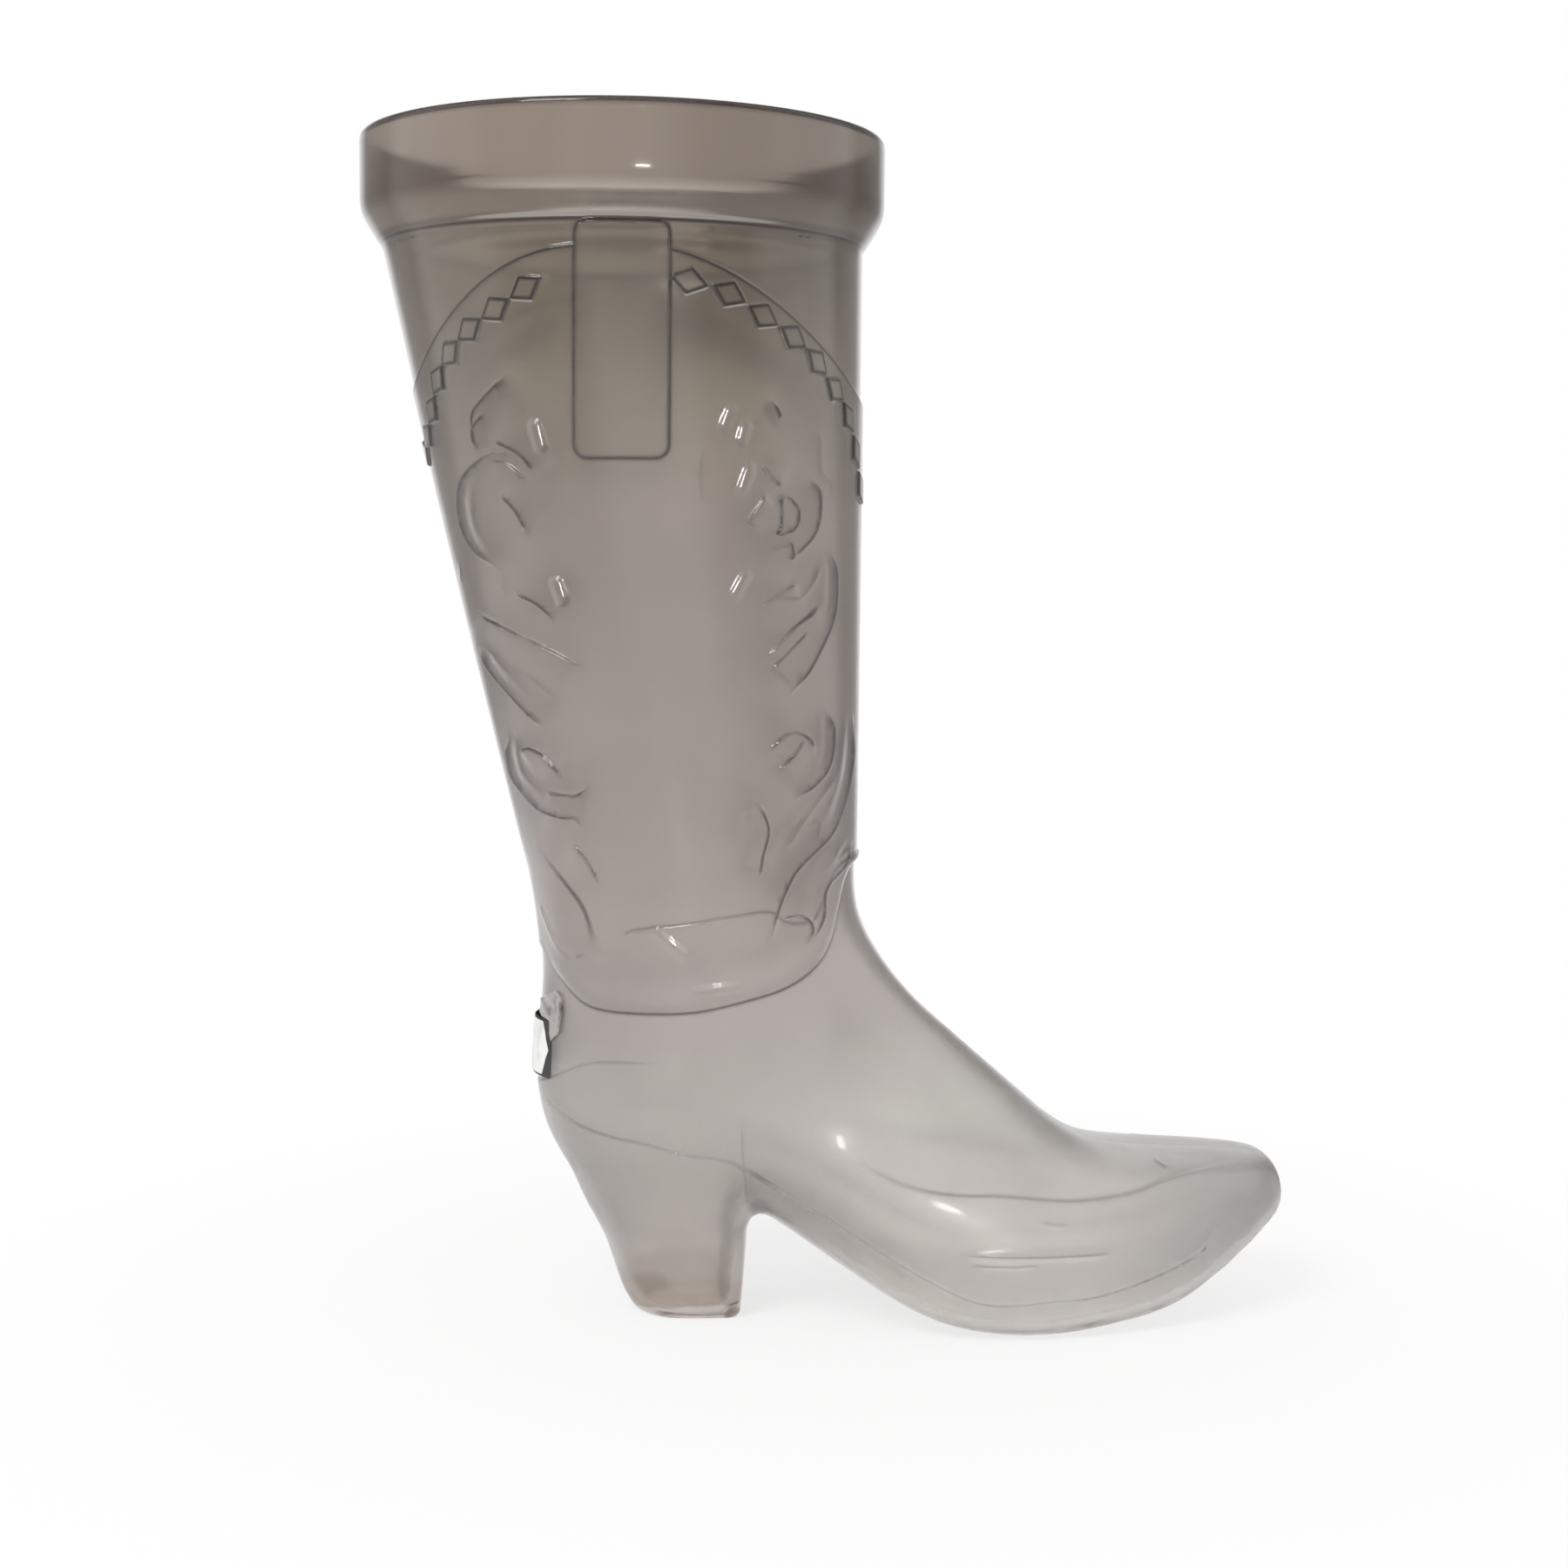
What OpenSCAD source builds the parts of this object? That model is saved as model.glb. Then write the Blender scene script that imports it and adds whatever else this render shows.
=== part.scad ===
// Clear plastic drinking cup in the shape of a Western boot: two moulded half shells that
// meet on the boot's middle plane, with a blank label and a scrap of film at the ankle.
// The toe points to +X, the mouth opens to +Z, and the heel and ball stand on Z = 0.

/* [Mouth] */
// Height of the rim above the table
boot_h = 209.7; // [195:0.1:225]
// Outside diameter of the round collar
rim_d = 92.4; // [90:0.1:102]
// Height of the collar's upright wall
collar_h = 12.3; // [8:0.1:18]
// Height of the sloping shoulder under the collar
shoulder_h = 6.4; // [4:0.1:10]
// Thickness of the plastic wall
wall = 1.4; // [1:0.1:2]

/* [Shaft] */
// Outside diameter of the shaft under the shoulder
shaft_d = 84.8; // [79:0.1:87]
// Distance of the mouth's axis ahead of the ankle's rearmost point
mouth_ahead = 14; // [10:0.1:20]
// Height at which the straight shaft ends and the ankle's turn begins
ankle_z = 78; // [74:0.5:84]
// Length of the shaft at that height, front to back
ankle_l = 57.9; // [54:0.1:62]
// Width of the shaft at that height, side to side
ankle_w = 54.8; // [50:0.1:58]
// Outward bow of the shaft's back line
back_bow = 0.4; // [0:0.1:3]

/* [Relief] */
// Width of the pull strap on each side
strap_w = 15.5; // [10:0.1:20]
// Length of the pull strap below the shoulder
strap_l = 38; // [25:0.5:50]
// Height of the pull strap above the shaft
strap_t = 1; // [0.6:0.1:1.6]
// Radius of the strap's lower corners
strap_r = 2.3; // [1:0.1:4]
// Gap from the shoulder down to the top of the arched panel
arch_gap = 3.7; // [2:0.1:8]
// Fall of the panel's arch at the shaft's front
arch_fall = 24; // [15:0.5:35]
// Height of the arched panel above the shaft
panel_t = 0.5; // [0.3:0.1:0.9]
// Number of lozenges along the arch on each side of a strap
lozenge_count = 8; // [5:1:9]
// Length of a lozenge along the row
lozenge_l = 5.8; // [4.5:0.1:6]
// Width of a lozenge across the row
lozenge_w = 4; // [3:0.1:5]
// Height of a lozenge above the panel
lozenge_t = 0.5; // [0.3:0.1:0.9]
// Height of the yoke band at the panel's foot
yoke_h = 15.5; // [10:0.5:18]
// Height of the yoke above the shaft
yoke_t = 1.2; // [0.8:0.1:1.8]

/* [Foot] */
// Distance from the ankle's rearmost point to the toe's tip
foot_l = 135; // [127:0.5:143]
// Width across the ball of the foot
ball_w = 53; // [47:0.5:58]
// Height of the flat snip toe's top above the table
toe_z = 28.8; // [26:0.1:32]
// Height of the arch under the shank
arch_z = 19.3; // [15:0.1:23]
// Thickness of the outsole band
sole_t = 5.7; // [4:0.1:8]
// Ledge of the outsole band beyond the upper
sole_lip = 0.6; // [0.3:0.1:1.2]
// Length of the heel's base
heel_l = 19; // [15:0.1:23]
// Width of the heel's base
heel_w = 22; // [18:0.1:27]
// Slope of the heel's back, from the counter to the base
heel_rake = 16.5; // [11:0.5:20]

/* [Label] */
// Width of the label, round the back of the ankle
label_w = 19; // [12:0.5:24]
// Height of the label
label_h = 11; // [8:0.5:13]
// Height of the label's lower edge above the table
label_z = 43.5; // [40:0.5:47]
// Thickness of the label
label_t = 0.3; // [0.2:0.05:0.5]
// Height of the film scrap above the label
film_h = 6.5; // [4:0.5:9]
// Width of the film scrap, on the near side
film_w = 11; // [6:0.5:13]
// Thickness of the film
film_t = 0.2; // [0.15:0.05:0.4]

/* [Hidden] */

// Points on half a loft ring, and rings from one control station to the next
side_points = 18;
steps = 2;
big = 4 * boot_h;

// Along X the ankle's back line is near back_ref, and 0 is the middle of the whole length
back_ref = 0;
mouth_x = back_ref + mouth_ahead;
toe_x = back_ref + foot_l;
rear_x = mouth_x - rim_d / 2;
x_mid = (rear_x + toe_x) / 2;
front_x = back_ref + ankle_l - 1.9;
collar_z = boot_h - collar_h;
shaft_z = collar_z - shoulder_h;

function lerp(a, b, t) = a + (b - a) * t;

// A smooth curve through the rows of a table, with n steps from row to row
function cubic(a, b, c, d, t) =
    b + 0.5 * t * (c - a + t * (2 * a - 5 * b + 4 * c - d + t * (3 * (b - c) + d - a)));
function smooth(rows, n) = [
    for (i = [0 : len(rows) - 2], j = [0 : n - 1])
        cubic(rows[max(i - 1, 0)], rows[i], rows[i + 1], rows[min(i + 2, len(rows) - 1)], j / n),
    rows[len(rows) - 1]
];

// A station is a section across the boot: its upper end [x, z], its lower end [x, z], half
// width, place of the widest point on the way down, and the fullness of its two halves.
function shaft_front(t) = lerp(front_x, mouth_x + shaft_d / 2, t);
function shaft_back(t) = lerp(front_x - ankle_l, mouth_x - shaft_d / 2, t) - back_bow * sin(180 * t);
function shaft_half(t) = lerp(ankle_w / 2, shaft_d / 2, t);
function share(z) = (z - ankle_z) / (shaft_z - ankle_z);
function shaft_station(z) = let (t = share(z))
    [shaft_front(t), z, shaft_back(t), z, shaft_half(t), 0.5, 2, 2];

// Along the foot, k runs from the shaft's front line to the toe's tip
function foot_x(k) = lerp(front_x, toe_x, k);
half_ball = ball_w / 2;

turn = [
    shaft_station(ankle_z + 8),
    shaft_station(ankle_z),
    [foot_x(0.014), ankle_z - 6, back_ref - 0.3, ankle_z - 14, ankle_w / 2 - 1.6, 0.50, 2, 2],
    [foot_x(0.052), ankle_z - 12, back_ref - 1, ankle_z - 27, ankle_w / 2 - 3.2, 0.52, 2, 2.1],
    [foot_x(0.106), ankle_z - 17.9, back_ref - 0.9, ankle_z - 39, 22.2, 0.55, 2, 2.2],
    [foot_x(0.160), ankle_z - 22.5, back_ref + 3.4, arch_z + 9.4, 20.8, 0.57, 2, 2.4],
    [foot_x(0.217), ankle_z - 26.5, back_ref + 16, arch_z + 5.2, 20.2, 0.61, 2, 2.6],
    [foot_x(0.272), ankle_z - 30.3, foot_x(-0.275), arch_z + 2.2, 20.6, 0.66, 2, 2.8],
    [foot_x(0.330), ankle_z - 34.3, foot_x(-0.070), arch_z * 0.61, half_ball - 3, 0.70, 2, 3.4],
    [foot_x(0.396), toe_z + 10.4, foot_x(0.137), arch_z * 0.12, half_ball - 0.8, 0.74, 2.1, 5],
    [foot_x(0.464), toe_z + 5.8, foot_x(0.306), 0, half_ball, 0.76, 2.2, 6.5],
    [foot_x(0.540), toe_z + 2.3, foot_x(0.449), 0, half_ball - 0.6, 0.74, 2.4, 6.5],
    [foot_x(0.632), toe_z + 0.8, foot_x(0.591), 1.2, half_ball - 2.8, 0.68, 2.8, 6.5],
    [foot_x(0.745), toe_z + 0.3, foot_x(0.732), 3.8, half_ball - 6.4, 0.64, 3, 6],
    [foot_x(0.860), toe_z - 0.1, foot_x(0.853), 9.4, half_ball - 10.4, 0.58, 3, 5],
    [foot_x(0.942), toe_z - 0.8, foot_x(0.940), 14.8, half_ball - 13.6, 0.52, 3, 4]
];
tip = [
    [foot_x(0.985), toe_z - 2, foot_x(0.984), 17.6, half_ball - 16.4, 0.50, 2.6, 2.8],
    [foot_x(1), toe_z - 5.6, foot_x(1), 20.2, half_ball - 20.5, 0.50, 2, 2]
];
shaft_top = shaft_z + 0.45 * shoulder_h;
shaft_rows = [for (i = [0 : 6]) shaft_station(lerp(shaft_top, ankle_z + 8, i / 6))];
upper_rows = [for (i = [0 : 5]) shaft_rows[i]];
foot_rows = smooth(concat(turn, tip), steps);
outer_rows = concat(upper_rows, foot_rows);
inner_rows = concat(upper_rows, smooth(turn, steps));

// The heel's stations lie flat, with the breast ahead and the rounded back behind
heel_front = back_ref + heel_rake + heel_l;
heel_top = arch_z + 14;
heel_rows = smooth([
    [heel_front + 10, heel_top, back_ref + 3.4, heel_top, heel_w / 2 + 7.6, 0.50, 2.4, 2],
    [heel_front + 10, arch_z + 9, back_ref + 3.9, arch_z + 9, heel_w / 2 + 7.6, 0.48, 2.6, 2.1],
    [heel_front + 8, arch_z + 4, back_ref + 5.9, arch_z + 4, heel_w / 2 + 6.9, 0.45, 3, 2.2],
    [heel_front + 3.4, arch_z + 0.8, back_ref + 7.4, arch_z + 0.8, heel_w / 2 + 5.8, 0.42, 4, 2.3],
    [heel_front + 1.3, arch_z - 2.3, back_ref + 9.1, arch_z - 2.3, heel_w / 2 + 4.6, 0.40, 5, 2.4],
    [heel_front + 0.9, arch_z * 0.65, back_ref + 11.2, arch_z * 0.65, heel_w / 2 + 2.9, 0.38, 6, 2.4],
    [heel_front + 0.3, 4, heel_front - heel_l - 2.4, 4, heel_w / 2 + 1, 0.35, 6, 2.4],
    [heel_front, 0, heel_front - heel_l, 0, heel_w / 2, 0.35, 6, 2.4]
], 2);

// One closed ring of a station, grown by g along the section and by gw across it
function power(v, p) = sign(v) * pow(abs(v), 2 / p);
function ring(s, g, gw) =
    let (from = [s[0], s[1]], to = [s[2], s[3]], way = (to - from) / norm(to - from))
    let (a = from - way * g, l = norm(to - from) + 2 * g)
    [for (k = [0 : 2 * side_points - 1])
        let (q = 180 * k / side_points, p = cos(q) >= 0 ? s[6] : s[7], c = power(cos(q), p))
        let (u = cos(q) >= 0 ? s[5] * (1 - c) : s[5] - (1 - s[5]) * c)
        [a[0] + way[0] * u * l, (s[4] + gw) * power(sin(q), p), a[1] + way[1] * u * l]];

// A closed solid through the rings of a table
module loft(rows, g = 0, gw = 0) {
    n = 2 * side_points;
    last = (len(rows) - 1) * n;
    polyhedron(
        points = [for (s = rows) each ring(s, g, gw)],
        faces = [
            [for (k = [n - 1 : -1 : 0]) k],
            for (i = [0 : len(rows) - 2], k = [0 : n - 1])
                let (a = i * n + k, b = i * n + (k + 1) % n)
                each [[a, b, a + n], [b, b + n, a + n]],
            [for (k = [0 : n - 1]) last + k]
        ]
    );
}

// An outline in the side view, drawn across the whole width
module across(points) {
    rotate([90, 0, 0])
        linear_extrude(big, center = true)
            polygon(points);
}

// Round collar with its sloping shoulder, as a solid of revolution that is grown by g
module collar(g, top) {
    r = rim_d / 2 + g;
    translate([mouth_x, 0, 0])
        rotate_extrude($fn = 72)
            polygon([
                [0, shaft_z - wall],
                [shaft_d / 2 + g - wall, shaft_z - wall],
                [lerp(shaft_d, rim_d, 0.4) / 2 + g, shaft_top],
                [r - 0.6, collar_z - 1.4],
                [r, collar_z + 0.4],
                [r, top - 0.6],
                [r - 0.5, top],
                [0, top]
            ]);
}

// Pull strap: a plate on the shaft, with round lower corners, that hangs from the shoulder
module straps() {
    low = shaft_z - strap_l;
    intersection() {
        loft(shaft_rows, strap_t, strap_t);
        across([
            [mouth_x - strap_w / 2, shaft_top - 0.2],
            for (q = [180 : 30 : 270])
                [mouth_x - strap_w / 2 + strap_r * (1 + cos(q)), low + strap_r * (1 + sin(q))],
            for (q = [270 : 30 : 360])
                [mouth_x + strap_w / 2 + strap_r * (cos(q) - 1), low + strap_r * (1 + sin(q))],
            [mouth_x + strap_w / 2, shaft_top - 0.2]
        ]);
    }
}

// Arched panel over the lower shaft. The arch is rounder at the back than at the front.
panel_z = shaft_z - arch_gap;
panel_rows = concat(shaft_rows, [shaft_station(ankle_z)]);
function arch(x) = x > mouth_x
    ? panel_z - arch_fall * pow((x - mouth_x) / (shaft_d / 2), 2)
    : panel_z - 0.8 * arch_fall * pow((mouth_x - x) / (0.83 * shaft_d / 2), 3);
module panel() {
    half = shaft_d / 2 + 6;
    intersection() {
        loft(panel_rows, panel_t, panel_t);
        across([
            for (i = [-12 : 12]) [mouth_x + half * i / 12, arch(mouth_x + half * i / 12)],
            [mouth_x + 2 * shaft_d, ankle_z - 2],
            [mouth_x - 2 * shaft_d, ankle_z - 2]
        ]);
    }
}

// Lozenges stand on the panel in a row under the arch, and turn down beside the outline
lozenge_from = 22;
lozenge_to = 76;
function lozenge_z(q) = panel_z - 4.5 - 29 * pow(abs(q) / 78, 1.8);
function on_shaft(q, g) = let (z = lozenge_z(q), t = share(z), f = shaft_front(t), b = shaft_back(t))
    [(f + b) / 2 + ((f - b) / 2 + g) * sin(q), (shaft_half(t) + g) * cos(q), z];
module lozenge(q) {
    here = on_shaft(q, panel_t);
    ahead = on_shaft(q + 1, panel_t);
    turn_z = atan2(ahead[1] - here[1], ahead[0] - here[0]);
    slope = atan2(ahead[2] - here[2], norm([ahead[0] - here[0], ahead[1] - here[1]]));
    translate(here)
        rotate([90, 0, turn_z])
            rotate(slope)
                hull() {
                    translate([0, 0, -wall / 2])
                        scale([lozenge_l / 2, lozenge_w / 2, 1])
                            linear_extrude(wall / 2)
                                circle(1, $fn = 4);
                    scale([0.3 * lozenge_l, 0.3 * lozenge_w, 1])
                        translate([0, 0, -lozenge_t])
                            linear_extrude(lozenge_t * 2)
                                circle(1, $fn = 4);
                }
}
module lozenges() {
    for (side = [0, 1], i = [0 : lozenge_count - 1], way = [-1, 1])
        mirror([0, side, 0])
            lozenge(way * lerp(lozenge_from, lozenge_to, pow(i / (lozenge_count - 1), 0.9)));
}

// Yoke: a raised band round the ankle, lowest under the strap and climbing to front and back
yoke_x = mouth_x + 3;
function yoke_low(x) = ankle_z - 20 + 9 * pow(max(yoke_x - x, 0) / 18, 2.6)
    + 2.2 * pow(max(x - yoke_x, 0) / 20, 1.5) + 17 * pow(max(x - yoke_x, 0) / 37, 7);
module yoke() {
    x0 = back_ref - 5;
    x1 = front_x + 3;
    count = 16;
    intersection() {
        loft(smooth([for (i = [0 : 4]) turn[i]], steps), yoke_t, yoke_t);
        across([
            for (i = [0 : count]) let (x = lerp(x0, x1, i / count)) [x, yoke_low(x)],
            for (i = [count : -1 : 0]) let (x = lerp(x0, x1, i / count)) [x, yoke_low(x) + yoke_h]
        ]);
    }
}

// Outsole band: the foot's own sections, widened below a line that follows the sole
sole_rows = smooth([for (i = [6 : len(turn) - 1]) turn[i]], steps);
module sole_band() {
    edge = smooth([for (i = [6 : len(turn) - 1]) [turn[i][2], turn[i][3] + sole_t]], steps);
    intersection() {
        loft(sole_rows, -sole_lip / 2, sole_lip);
        across(concat(edge, [[toe_x, -big / 8], [edge[0][0], -big / 8]]));
    }
}

module outside() {
    loft(outer_rows);
    collar(0, boot_h);
    loft(heel_rows);
    straps();
    panel();
    lozenges();
    yoke();
    sole_band();
}

module inside() {
    loft(inner_rows, -wall, -wall);
    collar(-wall, boot_h + 1);
    translate([0, 0, wall])
        loft(heel_rows, -wall, -wall);
}

module half_shell(side) {
    translate([-x_mid, 0, 0])
        intersection() {
            difference() {
                outside();
                inside();
            }
            translate([-big / 2, side > 0 ? 0 : -big, 0])
                cube(big);
        }
}

module right_half_shell() {
    color("lightsteelblue")
        half_shell(-1);
}

module left_half_shell() {
    color("lightslategray")
        half_shell(1);
}

// A thin sheet that lies on the back of the ankle, over the given width and height
module back_sheet(t, y0, y1, z0, z1) {
    rows = [for (i = [2 * steps : 5 * steps]) foot_rows[i]];
    translate([-x_mid, 0, 0])
        intersection() {
            difference() {
                loft(rows, t, t);
                loft(rows, 0, 0);
            }
            translate([back_ref - 10, y0, z0])
                cube([20, y1 - y0, z1 - z0]);
        }
}

module back_label() {
    color("white")
        back_sheet(label_t, -label_w / 2, label_w / 2, label_z, label_z + label_h);
}

module label_film() {
    color("lightcyan")
        back_sheet(film_t, -film_w - 1, -1, label_z + label_h, label_z + label_h + film_h);
}

right_half_shell();
left_half_shell();
back_label();
label_film();
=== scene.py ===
import math

import bmesh
import bpy
import numpy as np
from mathutils import Matrix, Vector


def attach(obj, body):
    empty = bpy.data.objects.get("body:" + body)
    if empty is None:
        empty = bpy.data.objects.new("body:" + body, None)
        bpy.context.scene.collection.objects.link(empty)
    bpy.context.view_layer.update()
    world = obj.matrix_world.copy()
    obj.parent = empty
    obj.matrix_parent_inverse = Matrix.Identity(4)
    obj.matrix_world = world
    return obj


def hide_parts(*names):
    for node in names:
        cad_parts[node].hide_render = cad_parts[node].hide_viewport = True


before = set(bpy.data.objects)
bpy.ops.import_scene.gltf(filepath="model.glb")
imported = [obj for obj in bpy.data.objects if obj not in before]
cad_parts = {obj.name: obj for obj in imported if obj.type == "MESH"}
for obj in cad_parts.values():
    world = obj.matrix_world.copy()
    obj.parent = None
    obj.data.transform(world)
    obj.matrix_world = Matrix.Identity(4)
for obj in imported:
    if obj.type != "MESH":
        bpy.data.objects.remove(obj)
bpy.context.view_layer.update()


# Half shells: form
# The boot is two thin mouldings of clear smoky styrene that meet on the middle plane. Each is a
# fan of rounded sections from the round mouth to the snipped toe, with the heel run into it.
# Places are in millimetres, x along the boot from near the ankle's back, z up from the table.
BOOT_H, COLLAR_Z, SHAFT_Z, ANKLE_Z = 209.7, 197.4, 191.0, 78.0
MOUTH_X, FRONT_X, TOE_X, X_MID = 14.0, 56.0, 135.0, 51.4
SHAFT_R, ANKLE_L, ANKLE_HALF = 42.4, 57.9, 27.4
ARCH_Z, TOE_Z, BALL_HALF = 19.3, 28.8, 26.5
HEEL_FRONT, HEEL_L, HEEL_HALF = 35.5, 19.0, 11.0
HEEL_TOP, WALL, BACK_HOLLOW = ARCH_Z + 14, 1.4, 0.4
# Radii of the edges and fillets where the forms meet
FLOOR_EDGE, TOE_EDGE, HEEL_EDGE, HEEL_FILLET, COLLAR_FILLET, THROAT_FILLET = 0.4, 1.2, 1.0, 2.6, 0.7, 2.0


def along_foot(k):
    """A place between the ankle's front (0) and the tip of the toe (1)."""
    return FRONT_X + (TOE_X - FRONT_X) * k


def shaft_station(z):
    """The shaft tapers straight from the shoulder to the ankle, a little hollow at the back."""
    t = (z - ANKLE_Z) / (SHAFT_Z - ANKLE_Z)
    front = FRONT_X + (MOUTH_X + SHAFT_R - FRONT_X) * t
    rear = FRONT_X - ANKLE_L
    back = rear + (MOUTH_X - SHAFT_R - rear) * t - BACK_HOLLOW * math.sin(math.pi * min(max(t, 0), 1))
    return [front, z, back, z, ANKLE_HALF + (SHAFT_R - ANKLE_HALF) * t, 0.5, 2, 2]


# A station: upper end x z, lower end x z, half width, place of the widest point, two fullnesses
TURN = [shaft_station(ANKLE_Z + 8), shaft_station(ANKLE_Z)] + [
    [along_foot(k), z, x1 if k1 is None else along_foot(k1), z1, half, place, p1, p2]
    for k, z, k1, x1, z1, half, place, p1, p2 in [
        (0.014, ANKLE_Z - 6, None, -0.3, ANKLE_Z - 14, ANKLE_HALF - 1.6, 0.50, 2, 2),
        (0.052, ANKLE_Z - 12, None, -1.0, ANKLE_Z - 27, ANKLE_HALF - 3.2, 0.52, 2, 2.1),
        (0.106, ANKLE_Z - 17.9, None, -0.9, ANKLE_Z - 39, 22.2, 0.55, 2, 2.2),
        (0.160, ANKLE_Z - 22.5, None, 3.4, ARCH_Z + 9.4, 20.8, 0.57, 2, 2.4),
        (0.217, ANKLE_Z - 26.5, None, 16.0, ARCH_Z + 5.2, 20.2, 0.61, 2, 2.6),
        (0.272, ANKLE_Z - 30.3, -0.275, 0, ARCH_Z + 2.2, 20.6, 0.66, 2, 2.8),
        (0.330, ANKLE_Z - 34.3, -0.070, 0, ARCH_Z * 0.61, BALL_HALF - 3, 0.70, 2, 3.4),
        (0.396, TOE_Z + 10.4, 0.137, 0, ARCH_Z * 0.12, BALL_HALF - 0.8, 0.74, 2.1, 5),
        (0.464, TOE_Z + 5.8, 0.306, 0, 0, BALL_HALF, 0.76, 2.2, 6.5),
        (0.540, TOE_Z + 2.3, 0.449, 0, 0, BALL_HALF - 0.6, 0.74, 2.4, 6.5),
        (0.632, TOE_Z + 0.8, 0.591, 0, 1.2, BALL_HALF - 2.8, 0.68, 2.8, 6.5),
        (0.745, TOE_Z + 0.3, 0.732, 0, 3.8, BALL_HALF - 6.4, 0.64, 3, 6),
        (0.860, TOE_Z - 0.1, 0.853, 0, 9.4, BALL_HALF - 10.4, 0.58, 3, 5),
        (0.942, TOE_Z - 0.8, 0.940, 0, 14.8, BALL_HALF - 13.6, 0.52, 3, 4),
        (0.985, TOE_Z - 2.0, 0.984, 0, 17.6, BALL_HALF - 16.4, 0.50, 2.6, 2.8),
        (1.000, TOE_Z - 5.6, 1.000, 0, 20.2, BALL_HALF - 20.5, 0.50, 2, 2)]]
# The heel's stations lie flat: front x, back x, height, half width, widest place, two fullnesses
HEEL = [
    (HEEL_FRONT + 10, 3.4, HEEL_TOP, HEEL_HALF + 7.6, 0.50, 2.4, 2),
    (HEEL_FRONT + 10, 3.9, ARCH_Z + 9, HEEL_HALF + 7.6, 0.48, 2.6, 2.1),
    (HEEL_FRONT + 8, 5.9, ARCH_Z + 4, HEEL_HALF + 6.9, 0.45, 3, 2.2),
    (HEEL_FRONT + 3.4, 7.4, ARCH_Z + 0.8, HEEL_HALF + 5.8, 0.42, 4, 2.3),
    (HEEL_FRONT + 1.3, 9.1, ARCH_Z - 2.3, HEEL_HALF + 4.6, 0.40, 5, 2.4),
    (HEEL_FRONT + 0.9, 11.2, ARCH_Z * 0.65, HEEL_HALF + 2.9, 0.38, 6, 2.4),
    (HEEL_FRONT + 0.3, HEEL_FRONT - HEEL_L - 2.4, 4.0, HEEL_HALF + 1, 0.35, 6, 2.4),
    (HEEL_FRONT, HEEL_FRONT - HEEL_L, 0.0, HEEL_HALF, 0.35, 6, 2.4)]


def smooth_rows(rows, n):
    """A smooth curve through the rows, with n steps from row to row."""
    rows = np.array(rows, float)
    out = []
    for i in range(len(rows) - 1):
        a, b = rows[max(i - 1, 0)], rows[i]
        c, d = rows[i + 1], rows[min(i + 2, len(rows) - 1)]
        for t in np.arange(n) / n:
            out.append(b + 0.5 * t * (c - a + t * (2 * a - 5 * b + 4 * c - d + t * (3 * (b - c) + d - a))))
    return np.array(out + [rows[-1]])


def soften(table, first, reach):
    """Irons out small bends between the stations of a dense table."""
    weight = np.exp(-0.5 * (np.arange(-3 * reach, 3 * reach + 1) / reach) ** 2)
    weight /= weight.sum()
    padded = np.vstack([table[:1].repeat(3 * reach, 0), table, table[-1:].repeat(3 * reach, 0)])
    soft = np.stack([np.convolve(padded[:, c], weight, "valid") for c in range(table.shape[1])], 1)
    blend = np.clip((np.arange(len(table)) - first) / 20, 0, 1)
    blend *= np.clip((len(table) - 1 - np.arange(len(table))) / 20, 0, 1)
    return table + (soft - table) * blend[:, None]


ROWS_TOP, ROW_STEP = 216, 0.4
SHAFT_ROWS = np.array([shaft_station(z) for z in np.arange(ROWS_TOP, ANKLE_Z + 8, -ROW_STEP)])
FAN = soften(np.vstack([SHAFT_ROWS, smooth_rows(TURN, 24)]), len(SHAFT_ROWS) - 40, 6)
HEEL_FAN = smooth_rows(HEEL, 16)[::-1]


def fan_section(x, z):
    """The fan's section through a place in the side view, by halving the stations."""
    low = np.zeros(x.shape, int)
    high = np.full(x.shape, len(FAN) - 1)

    def side(i):
        s = FAN[i]
        return (s[..., 2] - s[..., 0]) * (z - s[..., 1]) - (s[..., 3] - s[..., 1]) * (x - s[..., 0])

    for _ in range(11):
        middle = (low + high) // 2
        ahead = side(middle) > 0
        low = np.where(ahead, middle, low)
        high = np.where(ahead, high, middle)
    a, b = side(low), side(high)
    share = np.clip(a / np.where(a == b, 1, a - b), 0, 1)[..., None]
    return FAN[low] * (1 - share) + FAN[high] * share


def rounded(u, place, y, half, p1, p2):
    """Under 0 inside a rounded section, 0 on it and over 0 outside."""
    upper = u < place
    a = np.where(upper, place - u, u - place) / np.where(upper, place, 1 - place)
    p = np.where(upper, p1, p2)
    return (np.maximum(a, 0) ** p + np.maximum(np.abs(y) / half, 0) ** p) ** (1 / p) - 1


def boot_form(x, y, z, grow):
    """The shaft and the foot, grown all round by some mm."""
    s = fan_section(x, z)
    way_x, way_z = s[..., 2] - s[..., 0], s[..., 3] - s[..., 1]
    length = np.hypot(way_x, way_z)
    down = ((x - s[..., 0]) * way_x + (z - s[..., 1]) * way_z) / length
    u = (down + grow) / (length + 2 * grow)
    return rounded(u, s[..., 5], y, np.maximum(s[..., 4] + grow, 0.5), s[..., 6], s[..., 7])


def heel_form(x, y, z, grow):
    front, back, half, place, p1, p2 = (
        np.interp(z - max(-grow, 0), HEEL_FAN[:, 2], HEEL_FAN[:, c]) for c in (0, 1, 3, 4, 5, 6))
    u = (front - x + grow) / (front - back + 2 * grow)
    return rounded(u, place, y, half + grow, p1, p2)


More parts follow.
